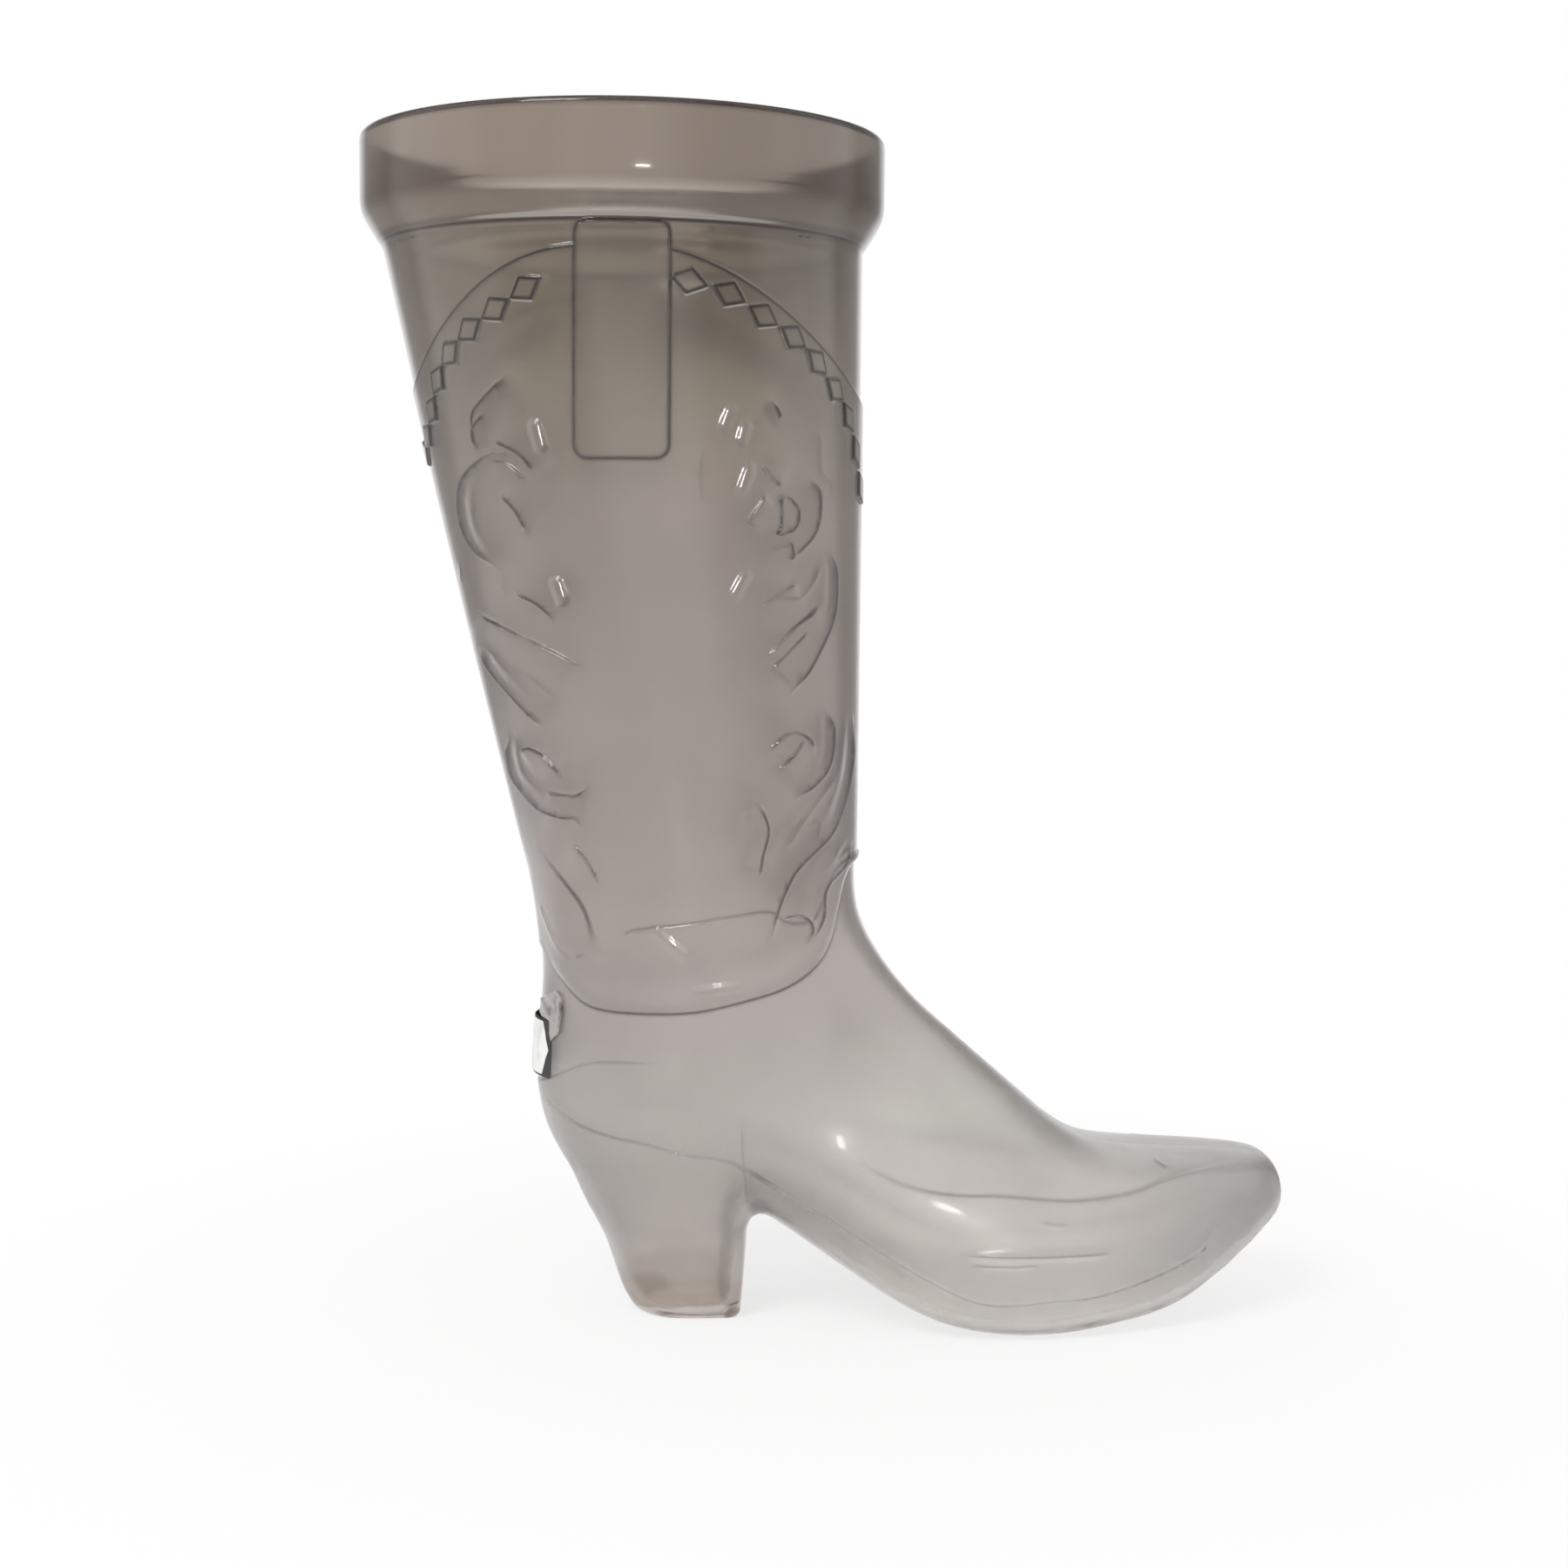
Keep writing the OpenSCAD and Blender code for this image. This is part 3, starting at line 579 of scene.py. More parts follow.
        height += lift * taper * np.exp(-(d / 0.7) ** 2)
        # Painted shade along each mark, and a painted highlight beside it
        mark(d, seen, strength * taper, 0.22)
        gleam = np.maximum(gleam, 0.8 * strength * taper * np.exp(-((seen + 0.5) / 0.3) ** 2))
    # Painted highlights along the listed lines
    for strength, points in PAINTED_GLEAMS:
        d, seen, _, at = from_line(p, n, points, 5)
        gleam = np.maximum(gleam, strength * rise(at, 0.2) * rise(1 - at, 0.2) * np.exp(-(seen / 0.3) ** 2))
        nearest = np.minimum(nearest, np.abs(d))
    # Painted shade fills the inner corner under the collar with a dark line, beside the strap
    over = z - CORNER_Z
    mark(np.where(beside, over, 1e6), over, 1.0 * beside, 0.36)
    edge = np.maximum(edge, 0.55 * beside * np.exp(-((over - 0.7) / 0.5) ** 2))
    return height, edge - gleam * (1 - edge), nearest


def near_side(x, z):
    """The place on the near side that is seen at x and z."""
    x, z = np.asarray(x, float), np.asarray(z, float)
    s = fan_section(x, z)
    way = s[..., 2:4] - s[..., 0:2]
    u = ((x - s[..., 0]) * way[..., 0] + (z - s[..., 1]) * way[..., 1]) / (way ** 2).sum(-1)
    upper = u < s[..., 5]
    a = np.where(upper, (s[..., 5] - u) / s[..., 5], (u - s[..., 5]) / (1 - s[..., 5]))
    p = np.where(upper, s[..., 6], s[..., 7])
    y = -s[..., 4] * np.maximum(1 - np.clip(a, 0, 1) ** p, 0) ** (1 / p)
    return np.stack([x, y, z], -1)


# Half shells: wall
# The outside carries the relief and the inside is plain, so that the wall thickens at each raised
# form. A thin rounded lip joins the two at the mouth, and flat faces close the half at the seam.
RELIEF_TOP, SEAM_GAP = 192.3, 0.01
# Radius and height of the rings from the inner corner up the collar, and down its inside
SHOULDER = [(42.42, 190.5), (42.54, 190.75), (42.66, 191.0), (42.79, 191.2), (42.93, 191.4), (43.22, 191.8),
            (43.47, 192.2), (43.91, 192.9), (44.6, 194.0), (45.16, 195.0), (45.66, 196.0), (45.99, 197.0),
            (46.14, 198.0), (46.2, 199.0), (46.2, 202.0), (46.2, 205.0), (46.2, 207.4)]
THROAT = [(44.8, 207.4), (44.8, 205.0), (44.8, 202.0), (44.8, 199.0), (44.74, 198.0), (44.59, 197.0),
          (44.26, 196.0), (43.76, 195.0), (43.21, 194.0), (42.92, 193.5), (42.59, 192.9), (42.34, 192.4),
          (42.06, 191.8), (41.87, 191.4), (41.65, 191.0), (41.39, 190.5)]
# Radius and height of the lip's rings, with the strength of the line of painted shade on its inner edge
LIP = [(46.2, 208.8, 0.0), (46.06, 209.3, 0.1), (45.78, 209.6, 0.15), (45.5, 209.7, 0.25), (45.22, 209.6, 0.5),
       (44.94, 209.3, 0.7), (44.8, 208.8, 0.7), (44.8, 208.1, 0.0)]


def half_shell_mesh():
    """The near half as one closed mesh: outside, collar, lip, inside and the flat faces at the seam."""
    outer, triangles = net_mesh(0, 1.8)
    lozenges = np.vstack([near_side(*smooth_rows(row, 5).T) for row in LOZENGE_ROWS])

    def wanted(p):
        """Length of edge that shows the lines and lozenges crisply, and plain walls with few triangles."""
        n = shell_distance(p, 0)[1]
        nearest = relief(p, n)[2]
        for place in lozenges:
            nearest = np.minimum(nearest, np.maximum(np.linalg.norm(p - place, axis=1) - 2.6, 0))
        nearest = np.minimum(nearest, np.abs(p[:, 2] - CORNER_Z))
        ridge = np.abs(n[:, 1]) < 0.4
        bent = np.where(((p[:, 2] > 187) & (p[:, 2] < 200)) | ridge, 1.3, 9)
        return np.minimum(0.36 + 1.3 * np.maximum(nearest - 0.45, 0), bent)

    for _ in range(5):
        outer, triangles = finer(outer, triangles, wanted, 0)
    n = outward(outer)
    height, edge = relief(outer, n)[:2]
    lifted = held(outer + height[:, None] * n, outer)
    lifted[:, 2] = np.maximum(lifted[:, 2], 0)

    inner, inner_triangles = net_mesh(-WALL, 2.3)
    for _ in range(2):
        inner, inner_triangles = finer(
            inner, inner_triangles, lambda p: np.where((p[:, 2] > 186) & (p[:, 2] < 200), 0.9, 9), -WALL)

    mesh = bmesh.new()
    layer = mesh.verts.layers.float.new("edge")
    skin = []
    for places, faces, marks in ((lifted, triangles, edge), (inner, inner_triangles, np.zeros(len(inner)))):
        verts = [mesh.verts.new(p) for p in places]
        for v, m in zip(verts, marks):
            v[layer] = m
        for f in faces:
            mesh.faces.new([verts[i] for i in f])
        rim = [v for v, p in zip(verts, places) if abs(p[2] - LIP_CUT) < 1e-3]
        skin.append(sorted(rim, key=lambda v: math.atan2(abs(v.co.y), v.co.x - MOUTH_X)))
    # The rings' places lie closer together at the sides of the strap
    angles = np.radians(np.arange(0, 180.1, 1.25))
    sides = [math.acos((side - MOUTH_X) / SHAFT_R) for side in STRAP[:2]]
    close = np.concatenate([side + np.radians(np.arange(-1.2, 1.3, 0.4)) for side in sides])
    angles = np.sort(np.concatenate([angles[np.abs(angles[:, None] - sides).min(1) > math.radians(1.4)], close]))
    around = len(angles) - 1
    profile = np.vstack([np.pad(smooth_rows(SHOULDER, 2), ((0, 0), (0, 1))), LIP,
                         np.pad(smooth_rows(THROAT, 2), ((0, 0), (0, 1)))])
    rings = []
    for i, (radius, z, line) in enumerate(profile):
        p = np.stack([MOUTH_X + radius * np.cos(angles), -radius * np.sin(angles), np.full(len(angles), z)], 1)
        p[[0, -1], 1] = 0
        marks = np.full(len(p), line)
        if z < RELIEF_TOP and i < len(profile) / 2:
            n = outward(p)
            height, marks = relief(p, n)[:2]
            p = held(p + height[:, None] * n, p)
        ring = [mesh.verts.new(place) for place in p]
        for v, m in zip(ring, marks):
            v[layer] = m
        rings.append(ring)
    for low, high in zip(rings[:-1], rings[1:]):
        for i in range(around):
            mesh.faces.new([low[i], low[i + 1], high[i + 1], high[i]])
    # The first and last ring are sewn to the ends of the two nets
    for ring, low in ((rings[0], skin[0]), (rings[-1], skin[1])):
        low_angles = [math.atan2(abs(v.co.y), v.co.x - MOUTH_X) for v in low]
        i = j = 0
        while i < around or j < len(low) - 1:
            if j == len(low) - 1 or (i < around and angles[i + 1] < low_angles[j + 1]):
                mesh.faces.new([ring[i], ring[i + 1], low[j]])
                i += 1
            else:
                mesh.faces.new([ring[i], low[j + 1], low[j]])
                j += 1
    loose = [v for v in mesh.verts if not v.link_faces]
    bmesh.ops.delete(mesh, geom=loose, context="VERTS")
    border = [e for e in mesh.edges if len(e.link_faces) == 1]
    bmesh.ops.holes_fill(mesh, edges=border, sides=0)
    bmesh.ops.triangulate(mesh, faces=mesh.faces[:])
    bmesh.ops.recalc_face_normals(mesh, faces=mesh.faces[:])
    for v in mesh.verts:
        v.co = ((v.co.x - X_MID) * 0.001, min(v.co.y, -SEAM_GAP) * 0.001, v.co.z * 0.001)
    for f in mesh.faces:
        f.smooth = True
    data = bpy.data.meshes.new("right_half_shell")
    mesh.to_mesh(data)
    mesh.free()
    data.set_sharp_from_angle(angle=math.radians(60))
    return data


# Half shells: plastic
# Smoke-tinted clear polystyrene, moulded against polished steel. It is glossy, a little wavy and hazy, so that
# what lies behind it blurs. It darkens towards the mouth, with a fine line of painted shade along each edge of the
# relief, and painted highlights beside some of them.
def add(tree, kind, inputs=(), stops=(), **settings):
    """Adds a node. Inputs are values or sockets to link, by the input's name or number. Stops are the places
    and colours of a ramp."""
    node = tree.nodes.new(kind)
    for name, value in settings.items():
        setattr(node, name, value)
    for key, value in dict(inputs).items():
        if isinstance(value, bpy.types.NodeSocket):
            tree.links.new(value, node.inputs[key])
        else:
            node.inputs[key].default_value = value
    for i, (at, colour) in enumerate(stops):
        stop = node.color_ramp.elements[i] if i < 2 else node.color_ramp.elements.new(at)
        stop.position, stop.color = at, linear(colour)
    return node


def linear(code):
    """An sRGB hex colour in linear light."""
    parts = [int(code[i:i + 2], 16) / 255 for i in (1, 3, 5)]
    return (*(c / 12.92 if c <= 0.04045 else ((c + 0.055) / 1.055) ** 2.4 for c in parts), 1)


def clear_plastic():
    material = bpy.data.materials.new("smoky clear polystyrene")
    material.use_nodes = True
    tree = material.node_tree
    tree.nodes.clear()
    place = add(tree, "ShaderNodeTexCoord").outputs["Object"]
    height = add(tree, "ShaderNodeSeparateXYZ", {0: place}).outputs["Z"]
    level = add(tree, "ShaderNodeMapRange", {"Value": height, "From Max": BOOT_H * 0.001}).outputs[0]
    tint = add(tree, "ShaderNodeValToRGB", {0: level}, stops=[
        (0, "#FFFDFB"), (0.04, "#FDFAF8"), (0.08, "#F2EFED"), (0.19, "#F3F1EE"), (0.25, "#E9E5E3"),
        (0.32, "#E9E4E1"), (0.37, "#DFD8D5"), (0.43, "#D8D1CE"), (0.57, "#D4CDC9"), (0.7, "#D2CBC6"),
        (0.787, "#C7C0B8"), (0.88, "#B3ABA0"), (0.908, "#B3ABA0"), (0.916, "#CCC3BA"), (0.93, "#CCC3BA"),
        (0.94, "#A1948A")]).outputs[0]
    # The foot is a little darker at the heel and the toe than at the ball
    length = add(tree, "ShaderNodeSeparateXYZ", {0: place}).outputs["X"]
    run = add(tree, "ShaderNodeMapRange", {"Value": length, "From Min": -0.084, "From Max": 0.084}).outputs[0]
    foot = add(tree, "ShaderNodeValToRGB", {0: run}, stops=[
        (0.0, "#F0EFEF"), (0.36, "#F3F2F2"), (0.6, "#FEFEFE"), (0.8, "#FEFEFE"), (0.93, "#EEEFF0")]).outputs[0]
    low = add(tree, "ShaderNodeMapRange", {"Value": height, "From Min": 0.055, "From Max": 0.085, "To Min": 1.0,
                                           "To Max": 0.0}).outputs[0]
    depth_tint = add(tree, "ShaderNodeMix", {0: low, 6: tint, 7: foot}, data_type="RGBA",
                     blend_type="MULTIPLY").outputs[2]
    # Painted shade darkens the floor of the heel, up to a ragged line some 8 mm high
    ragged = add(tree, "ShaderNodeTexNoise", {"Vector": place, "Scale": 1 / 0.008, "Detail": 2.0}).outputs[0]
    floor = add(tree, "ShaderNodeMath", {0: ragged, 1: -0.012, 2: height}, operation="MULTIPLY_ADD").outputs[0]
    floor = add(tree, "ShaderNodeMapRange", {"Value": floor, "From Min": 0.0005, "From Max": 0.004, "To Min": 1.0,
                                             "To Max": 0.0}).outputs[0]
    rear = add(tree, "ShaderNodeMapRange", {"Value": run, "From Min": 0.46, "From Max": 0.5, "To Min": 1.0,
                                            "To Max": 0.0}).outputs[0]
    floor = add(tree, "ShaderNodeMath", {0: floor, 1: rear}, operation="MULTIPLY").outputs[0]
    depth_tint = add(tree, "ShaderNodeMix", {0: floor, 6: depth_tint, 7: linear("#DCD3CC")},
                     data_type="RGBA").outputs[2]
    # Painted shade: the mouth darkens towards its front
    mouth = add(tree, "ShaderNodeMapRange", {"Value": length, "From Min": -0.055, "From Max": 0.012, "To Min": 0.96,
                                             "To Max": 0.66}).outputs[0]
    high = add(tree, "ShaderNodeMapRange", {"Value": height, "From Min": 0.165, "From Max": 0.195}).outputs[0]
    depth_tint = add(tree, "ShaderNodeMix", {0: high, 6: depth_tint, 7: mouth}, data_type="RGBA",
                     blend_type="MULTIPLY").outputs[2]
    # Flow marks of the melt, about 30 mm wide, and painted shade and painted highlights along the moulded edges
    cloud = add(tree, "ShaderNodeTexNoise", {"Vector": place, "Scale": 1 / 0.030, "Detail": 3.0}).outputs[0]
    share = add(tree, "ShaderNodeMapRange", {"Value": cloud, "From Min": 0.3, "From Max": 0.7,
                                             "To Min": 0.94, "To Max": 1.03}).outputs[0]
    mottled = add(tree, "ShaderNodeMix", {0: 1.0, 6: depth_tint, 7: share}, data_type="RGBA",
                  blend_type="MULTIPLY").outputs[2]
    # Painted shade: dark grey along each line of the edge attribute
    edge = add(tree, "ShaderNodeAttribute", attribute_name="edge").outputs["Fac"]
    edged = add(tree, "ShaderNodeMix", {0: edge, 6: mottled, 7: linear("#303036")}, data_type="RGBA").outputs[2]
    # Painted highlight: white and less clear where the edge attribute is below 0
    gleam = add(tree, "ShaderNodeMath", {0: edge, 1: -1.0}, operation="MULTIPLY").outputs[0]
    clear = add(tree, "ShaderNodeMapRange", {"Value": gleam, "To Min": 0.92, "To Max": 0.5}).outputs[0]
    edged = add(tree, "ShaderNodeMix", {0: gleam, 6: edged, 7: (1, 1, 1, 1)}, data_type="RGBA").outputs[2]
    # Waves of the skin, about 14 mm long, and haze in patches some 5 mm across, clearer at the mouth
    wave = add(tree, "ShaderNodeTexNoise", {"Vector": place, "Scale": 1 / 0.014, "Detail": 1.0}).outputs[0]
    skin = add(tree, "ShaderNodeBump", {"Height": wave, "Strength": 0.10, "Distance": 0.0004}).outputs[0]
    haze = add(tree, "ShaderNodeTexNoise", {"Vector": place, "Scale": 1 / 0.005, "Detail": 4.0}).outputs[0]
    rough = add(tree, "ShaderNodeMapRange", {"Value": haze, "From Min": 0.35, "From Max": 0.75,
                                             "To Min": 0.18, "To Max": 0.24}).outputs[0]
    polish = add(tree, "ShaderNodeMapRange", {"Value": height, "From Min": 0.162, "From Max": 0.182, "To Min": 1.0,
                                              "To Max": 0.5}).outputs[0]
    rough = add(tree, "ShaderNodeMath", {0: rough, 1: polish}, operation="MULTIPLY").outputs[0]
    # The shaft is the glossiest, and the foot and the collar are duller, with softer highlights
    gloss = add(tree, "ShaderNodeValToRGB", {0: level}, stops=[
        (0.22, "#5A5A5A"), (0.29, "#BCBCBC"), (0.9, "#BCBCBC"), (0.93, "#6A6A6A")]).outputs[0]
    shader = add(tree, "ShaderNodeBsdfPrincipled", {
        "Base Color": edged, "Roughness": rough, "Normal": skin, "IOR": 1.55, "Transmission Weight": clear,
        "Coat Weight": gloss, "Coat Roughness": 0.02, "Coat IOR": 1.5, "Specular Tint": linear("#A8A4A2")})
    depth = add(tree, "ShaderNodeVolumeAbsorption", {"Color": linear("#CFCAC4"), "Density": 150.0})
    add(tree, "ShaderNodeOutputMaterial", {"Surface": shader.outputs[0], "Volume": depth.outputs[0]})
    return material


# Half shells: lozenges
# Two rows of small raised diamonds follow the arch, tip to tip from the strap to the seams. They
# are moulded with the wall, so they lift its surface instead of lying on it.
LOZENGE_L, LOZENGE_W, LOZENGE_UP, LOZENGE_STEP, LOZENGE_SLOPE = 6.1, 3.9, 0.5, 6.7, 0.35


def lozenge_tree():
    """Lays diamonds along the rows, raises the shell under them and draws their outlines in painted shade."""
    tree = bpy.data.node_groups.new("lozenge row", "GeometryNodeTree")
    for name, kind in (("Shell", "Geometry"), ("Row", "Object"), ("Spacing", "Float"), ("Length", "Float"),
                       ("Width", "Float"), ("Lift", "Float"), ("Slope", "Float"), ("Plastic", "Material")):
        tree.interface.new_socket(name, in_out="INPUT", socket_type="NodeSocket" + kind)
    tree.interface.new_socket("Shell", in_out="OUTPUT", socket_type="NodeSocketGeometry")
    given = add(tree, "NodeGroupInput").outputs
    row = add(tree, "GeometryNodeObjectInfo", {"Object": given["Row"]}).outputs["Geometry"]
    spots = add(tree, "GeometryNodeCurveToPoints", {"Curve": row, "Length": given["Spacing"]}, mode="LENGTH").outputs
    normal = add(tree, "GeometryNodeInputNormal").outputs[0]
    upright = add(tree, "GeometryNodeSampleNearestSurface", {"Mesh": given["Shell"], "Value": normal},
                  data_type="FLOAT_VECTOR").outputs["Value"]
    turned = add(tree, "FunctionNodeAxesToRotation", {0: upright, 1: spots["Tangent"]}, primary_axis="Z",
                 secondary_axis="X").outputs[0]
    diamond = add(tree, "GeometryNodeMeshCircle", {"Vertices": 4, "Radius": 0.5}, fill_type="NGON").outputs[0]
    size = add(tree, "ShaderNodeCombineXYZ", {"X": given["Length"], "Y": given["Width"], "Z": 1.0}).outputs[0]
    placed = add(tree, "GeometryNodeInstanceOnPoints", {"Points": spots["Points"], "Instance": diamond,
                                                        "Rotation": turned, "Scale": size}).outputs[0]
    solid = add(tree, "GeometryNodeRealizeInstances", {0: placed}).outputs[0]
    away = add(tree, "GeometryNodeProximity", {0: solid}, target_element="FACES").outputs["Distance"]
    start, line_core, line_end = 0.0002, 0.0001, 0.0006
    end = add(tree, "ShaderNodeMath", {0: given["Slope"], 1: start}, operation="ADD").outputs[0]
    lift = add(tree, "ShaderNodeMapRange", {"Value": away, "From Min": start, "From Max": end, "To Min": given["Lift"],
                                            "To Max": 0.0}, interpolation_type="SMOOTHSTEP").outputs[0]
    push = add(tree, "ShaderNodeVectorMath", {0: normal, "Scale": lift}, operation="SCALE").outputs[0]
    # Painted shade along the diamonds' outlines
    rim = add(tree, "GeometryNodeProximity", {0: solid}, target_element="EDGES").outputs["Distance"]
    painted_outline = add(tree, "ShaderNodeMapRange", {"Value": rim, "From Min": line_core, "From Max": line_end,
                                            "To Min": 1.0, "To Max": 0.0}, interpolation_type="SMOOTHSTEP").outputs[0]
    before = add(tree, "GeometryNodeInputNamedAttribute", {"Name": "edge"}).outputs[0]
    most = add(tree, "ShaderNodeMath", {0: painted_outline, 1: before}, operation="MAXIMUM").outputs[0]
    marked = add(tree, "GeometryNodeStoreNamedAttribute", {"Geometry": given["Shell"], "Name": "edge",
                                                           "Value": most}).outputs[0]
    raised = add(tree, "GeometryNodeSetPosition", {"Geometry": marked, "Offset": push}).outputs[0]
    whole = add(tree, "GeometryNodeRealizeInstances", {0: raised}).outputs[0]
    done = add(tree, "GeometryNodeSetMaterial", {"Geometry": whole, "Material": given["Plastic"]}).outputs[0]
    add(tree, "NodeGroupOutput", {0: done})
    return tree


def lozenge_path():
    """The two rows, half a millimetre off the wall."""
    curve = bpy.data.curves.new("lozenge_row", "CURVE")
    curve.dimensions = "3D"
    for row in LOZENGE_ROWS:
        places = near_side(*smooth_rows(row, 8).T)
        places += 0.5 * outward(places) - [X_MID, 0, 0]
        spline = curve.splines.new("POLY")
        spline.points.add(len(places) - 1)
        for point, place in zip(spline.points, places):
            point.co = (*(place * 0.001), 1)
    return bpy.data.objects.new("lozenge_row", curve)


scene = bpy.context.scene
plastic = clear_plastic()
near_half = bpy.data.objects.new("right_shell", half_shell_mesh())
row = lozenge_path()
for thing in (near_half, row):
    scene.collection.objects.link(thing)
modifier = near_half.modifiers.new("lozenges", "NODES")
modifier.node_group = lozenge_tree()
values = {"Row": row, "Spacing": LOZENGE_STEP * 0.001, "Length": LOZENGE_L * 0.001, "Width": LOZENGE_W * 0.001,
          "Lift": LOZENGE_UP * 0.001, "Slope": LOZENGE_SLOPE * 0.001, "Plastic": plastic}
for socket in modifier.node_group.interface.items_tree:
    if socket.in_out == "INPUT" and socket.name in values:
        modifier[socket.identifier] = values[socket.name]
result = near_half.evaluated_get(bpy.context.evaluated_depsgraph_get())
mesh = bpy.data.meshes.new_from_object(result)
near_half.modifiers.clear()
near_half.data = mesh
bpy.data.objects.remove(row)
# The far half is the near one mirrored
far_mesh = mesh.copy()
far_mesh.transform(Matrix.Diagonal((1, -1, 1, 1)))
far_mesh.flip_normals()
far_half = bpy.data.objects.new("left_shell", far_mesh)
scene.collection.objects.link(far_half)
for half, node in ((near_half, "right_half_shell"), (far_half, "left_half_shell")):
    half.data.set_sharp_from_angle(angle=math.radians(60))
    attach(half, "root")
    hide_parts(node)


# Back label
# A small sticky label of white coated paper, wrapped round the back of the ankle over the seam. A black sheet a
# little larger than its face lies under it as painted shadow. It has come loose at the seam and stands a little off
# the plastic there.
LABEL_Y, LABEL_Z, FACE_Y, FACE_Z = (-11.0, 9.5), (43.9, 54.3), (-10.3, 9.0), (44.3, 53.9)
FACE_MID, POINT_L = 49, 2.7


def back_sheet(name, y0, y1, z0, z1, lift, thickness, across, down):
    """A closed thin sheet on the back of the ankle. Lift says how far each place stands off it."""
    y, z = np.meshgrid(np.linspace(y0, y1, across + 1), np.linspace(0, 1, down + 1), indexing="ij")
    z = z0(y) + (z1(y) - z0(y)) * z
    # A bent start close behind the ankle, which is then laid onto it
    flat = np.stack([np.full(y.size, -2.0) + 0.016 * y.ravel() ** 2, y.ravel(), z.ravel()], 1)
    on = onto_shell(flat, 0, 8)
    n = outward(on)
    height = lift(flat[:, 1], flat[:, 2])[:, None]
    places = np.vstack([on + n * height, on + n * (height + thickness)])
    places = (places - [X_MID, 0, 0]) * 0.001
    grid = np.arange(y.size).reshape(y.shape)
    quads = np.stack([grid[:-1, :-1], grid[1:, :-1], grid[1:, 1:], grid[:-1, 1:]], -1).reshape(-1, 4)
    border = np.concatenate([grid[:, 0], grid[-1, 1:], grid[-2::-1, -1], grid[0, -2:0:-1]])
    ahead = np.roll(border, -1)
    sides = np.stack([border, ahead, ahead + y.size, border + y.size], 1)
    data = bpy.data.meshes.new(name)
    data.from_pydata(places.tolist(), [], np.vstack([quads[:, ::-1], quads + y.size, sides]).tolist())
    tool = bmesh.new()
    tool.from_mesh(data)
    bmesh.ops.recalc_face_normals(tool, faces=tool.faces[:])
    for face in tool.faces:
        face.smooth = True
    tool.to_mesh(data)
    tool.free()
    data.set_sharp_from_angle(angle=math.radians(40))
    return data


def curl(y, z):
    """The label's lift in mm: a soft bulge over the seam, and small ripples."""
    return 0.05 + 0.85 * np.exp(-((y + 1) / 5.5) ** 2) + 0.06 * np.sin(z * 0.9 + y * 0.7) ** 2


def coated_paper():
    material = bpy.data.materials.new("coated label paper")
    material.use_nodes = True
    tree = material.node_tree
    shader = tree.nodes["Principled BSDF"]
    place = add(tree, "ShaderNodeTexCoord").outputs["Object"]
    # Fibre of the sheet, drawn 0.4 mm across so that it shows, and grey rubbed patches of 3 mm
    fibre = add(tree, "ShaderNodeTexNoise", {"Vector": place, "Scale": 1 / 0.0004, "Detail": 3.0}).outputs[0]
    rub = add(tree, "ShaderNodeTexNoise", {"Vector": place, "Scale": 1 / 0.003, "Detail": 2.0}).outputs[0]
    worn = add(tree, "ShaderNodeMapRange", {"Value": rub, "From Min": 0.45, "From Max": 0.75}).outputs[0]
    colour = add(tree, "ShaderNodeMix", {0: worn, 6: linear("#F2F2F0"), 7: linear("#DEDDDB")}, data_type="RGBA")
    tree.links.new(colour.outputs[2], shader.inputs["Base Color"])
    bump = add(tree, "ShaderNodeBump", {"Height": fibre, "Strength": 0.2, "Distance": 0.00005})
    tree.links.new(bump.outputs[0], shader.inputs["Normal"])
    shader.inputs["Roughness"].default_value = 0.55
    return material


def painted_label_shadow():
    # Painted shadow under the label's face: flat black, with a grain of about 0.6 mm
    material = bpy.data.materials.new("painted shadow under label")
    material.use_nodes = True
    tree = material.node_tree
    shader = tree.nodes["Principled BSDF"]
    place = add(tree, "ShaderNodeTexCoord").outputs["Object"]
    grain = add(tree, "ShaderNodeTexNoise", {"Vector": place, "Scale": 1 / 0.0006, "Detail": 2.0}).outputs[0]
    colour = add(tree, "ShaderNodeMix", {0: grain, 6: linear("#0E0E10"), 7: linear("#2A2A2C")}, data_type="RGBA")
    tree.links.new(colour.outputs[2], shader.inputs["Base Color"])
    shader.inputs["Roughness"].default_value = 0.5
    return material


def even(z):
    """A straight edge at one height."""
    return lambda y: np.full(y.shape, z)


def tip(end):
    """The white face ends in a blunt point, which leaves the corners of the black sheet of painted shadow bare."""
    return lambda y: FACE_MID + (end - FACE_MID) * np.clip((y - FACE_Y[0]) / POINT_L, 0.02, 1)


# The black sheet is painted shadow under the label's white face
black = back_sheet("back_label", *LABEL_Y, even(LABEL_Z[0]), even(LABEL_Z[1]), curl, 0.06, 40, 18)
white = back_sheet("label_face", *FACE_Y, tip(FACE_Z[0]), tip(FACE_Z[1]), lambda y, z: 0.1 + curl(y, z), 0.12, 60, 18)
black.materials.append(painted_label_shadow())
black.materials.append(coated_paper())
tool = bmesh.new()
tool.from_mesh(white)
for face in tool.faces:
    face.material_index = 1
tool.from_mesh(black)
tool.to_mesh(black)
tool.free()
label = bpy.data.objects.new("label", black)
scene.collection.objects.link(label)
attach(label, "root")
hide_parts("back_label")


# Film scrap
# What is left of a clear wrapper, caught above the label on the near side. It is a soft film a few
# hundredths of a millimetre thick, crumpled into sharp creases that catch the light.
FILM_Y = (-15.2, -1.0)


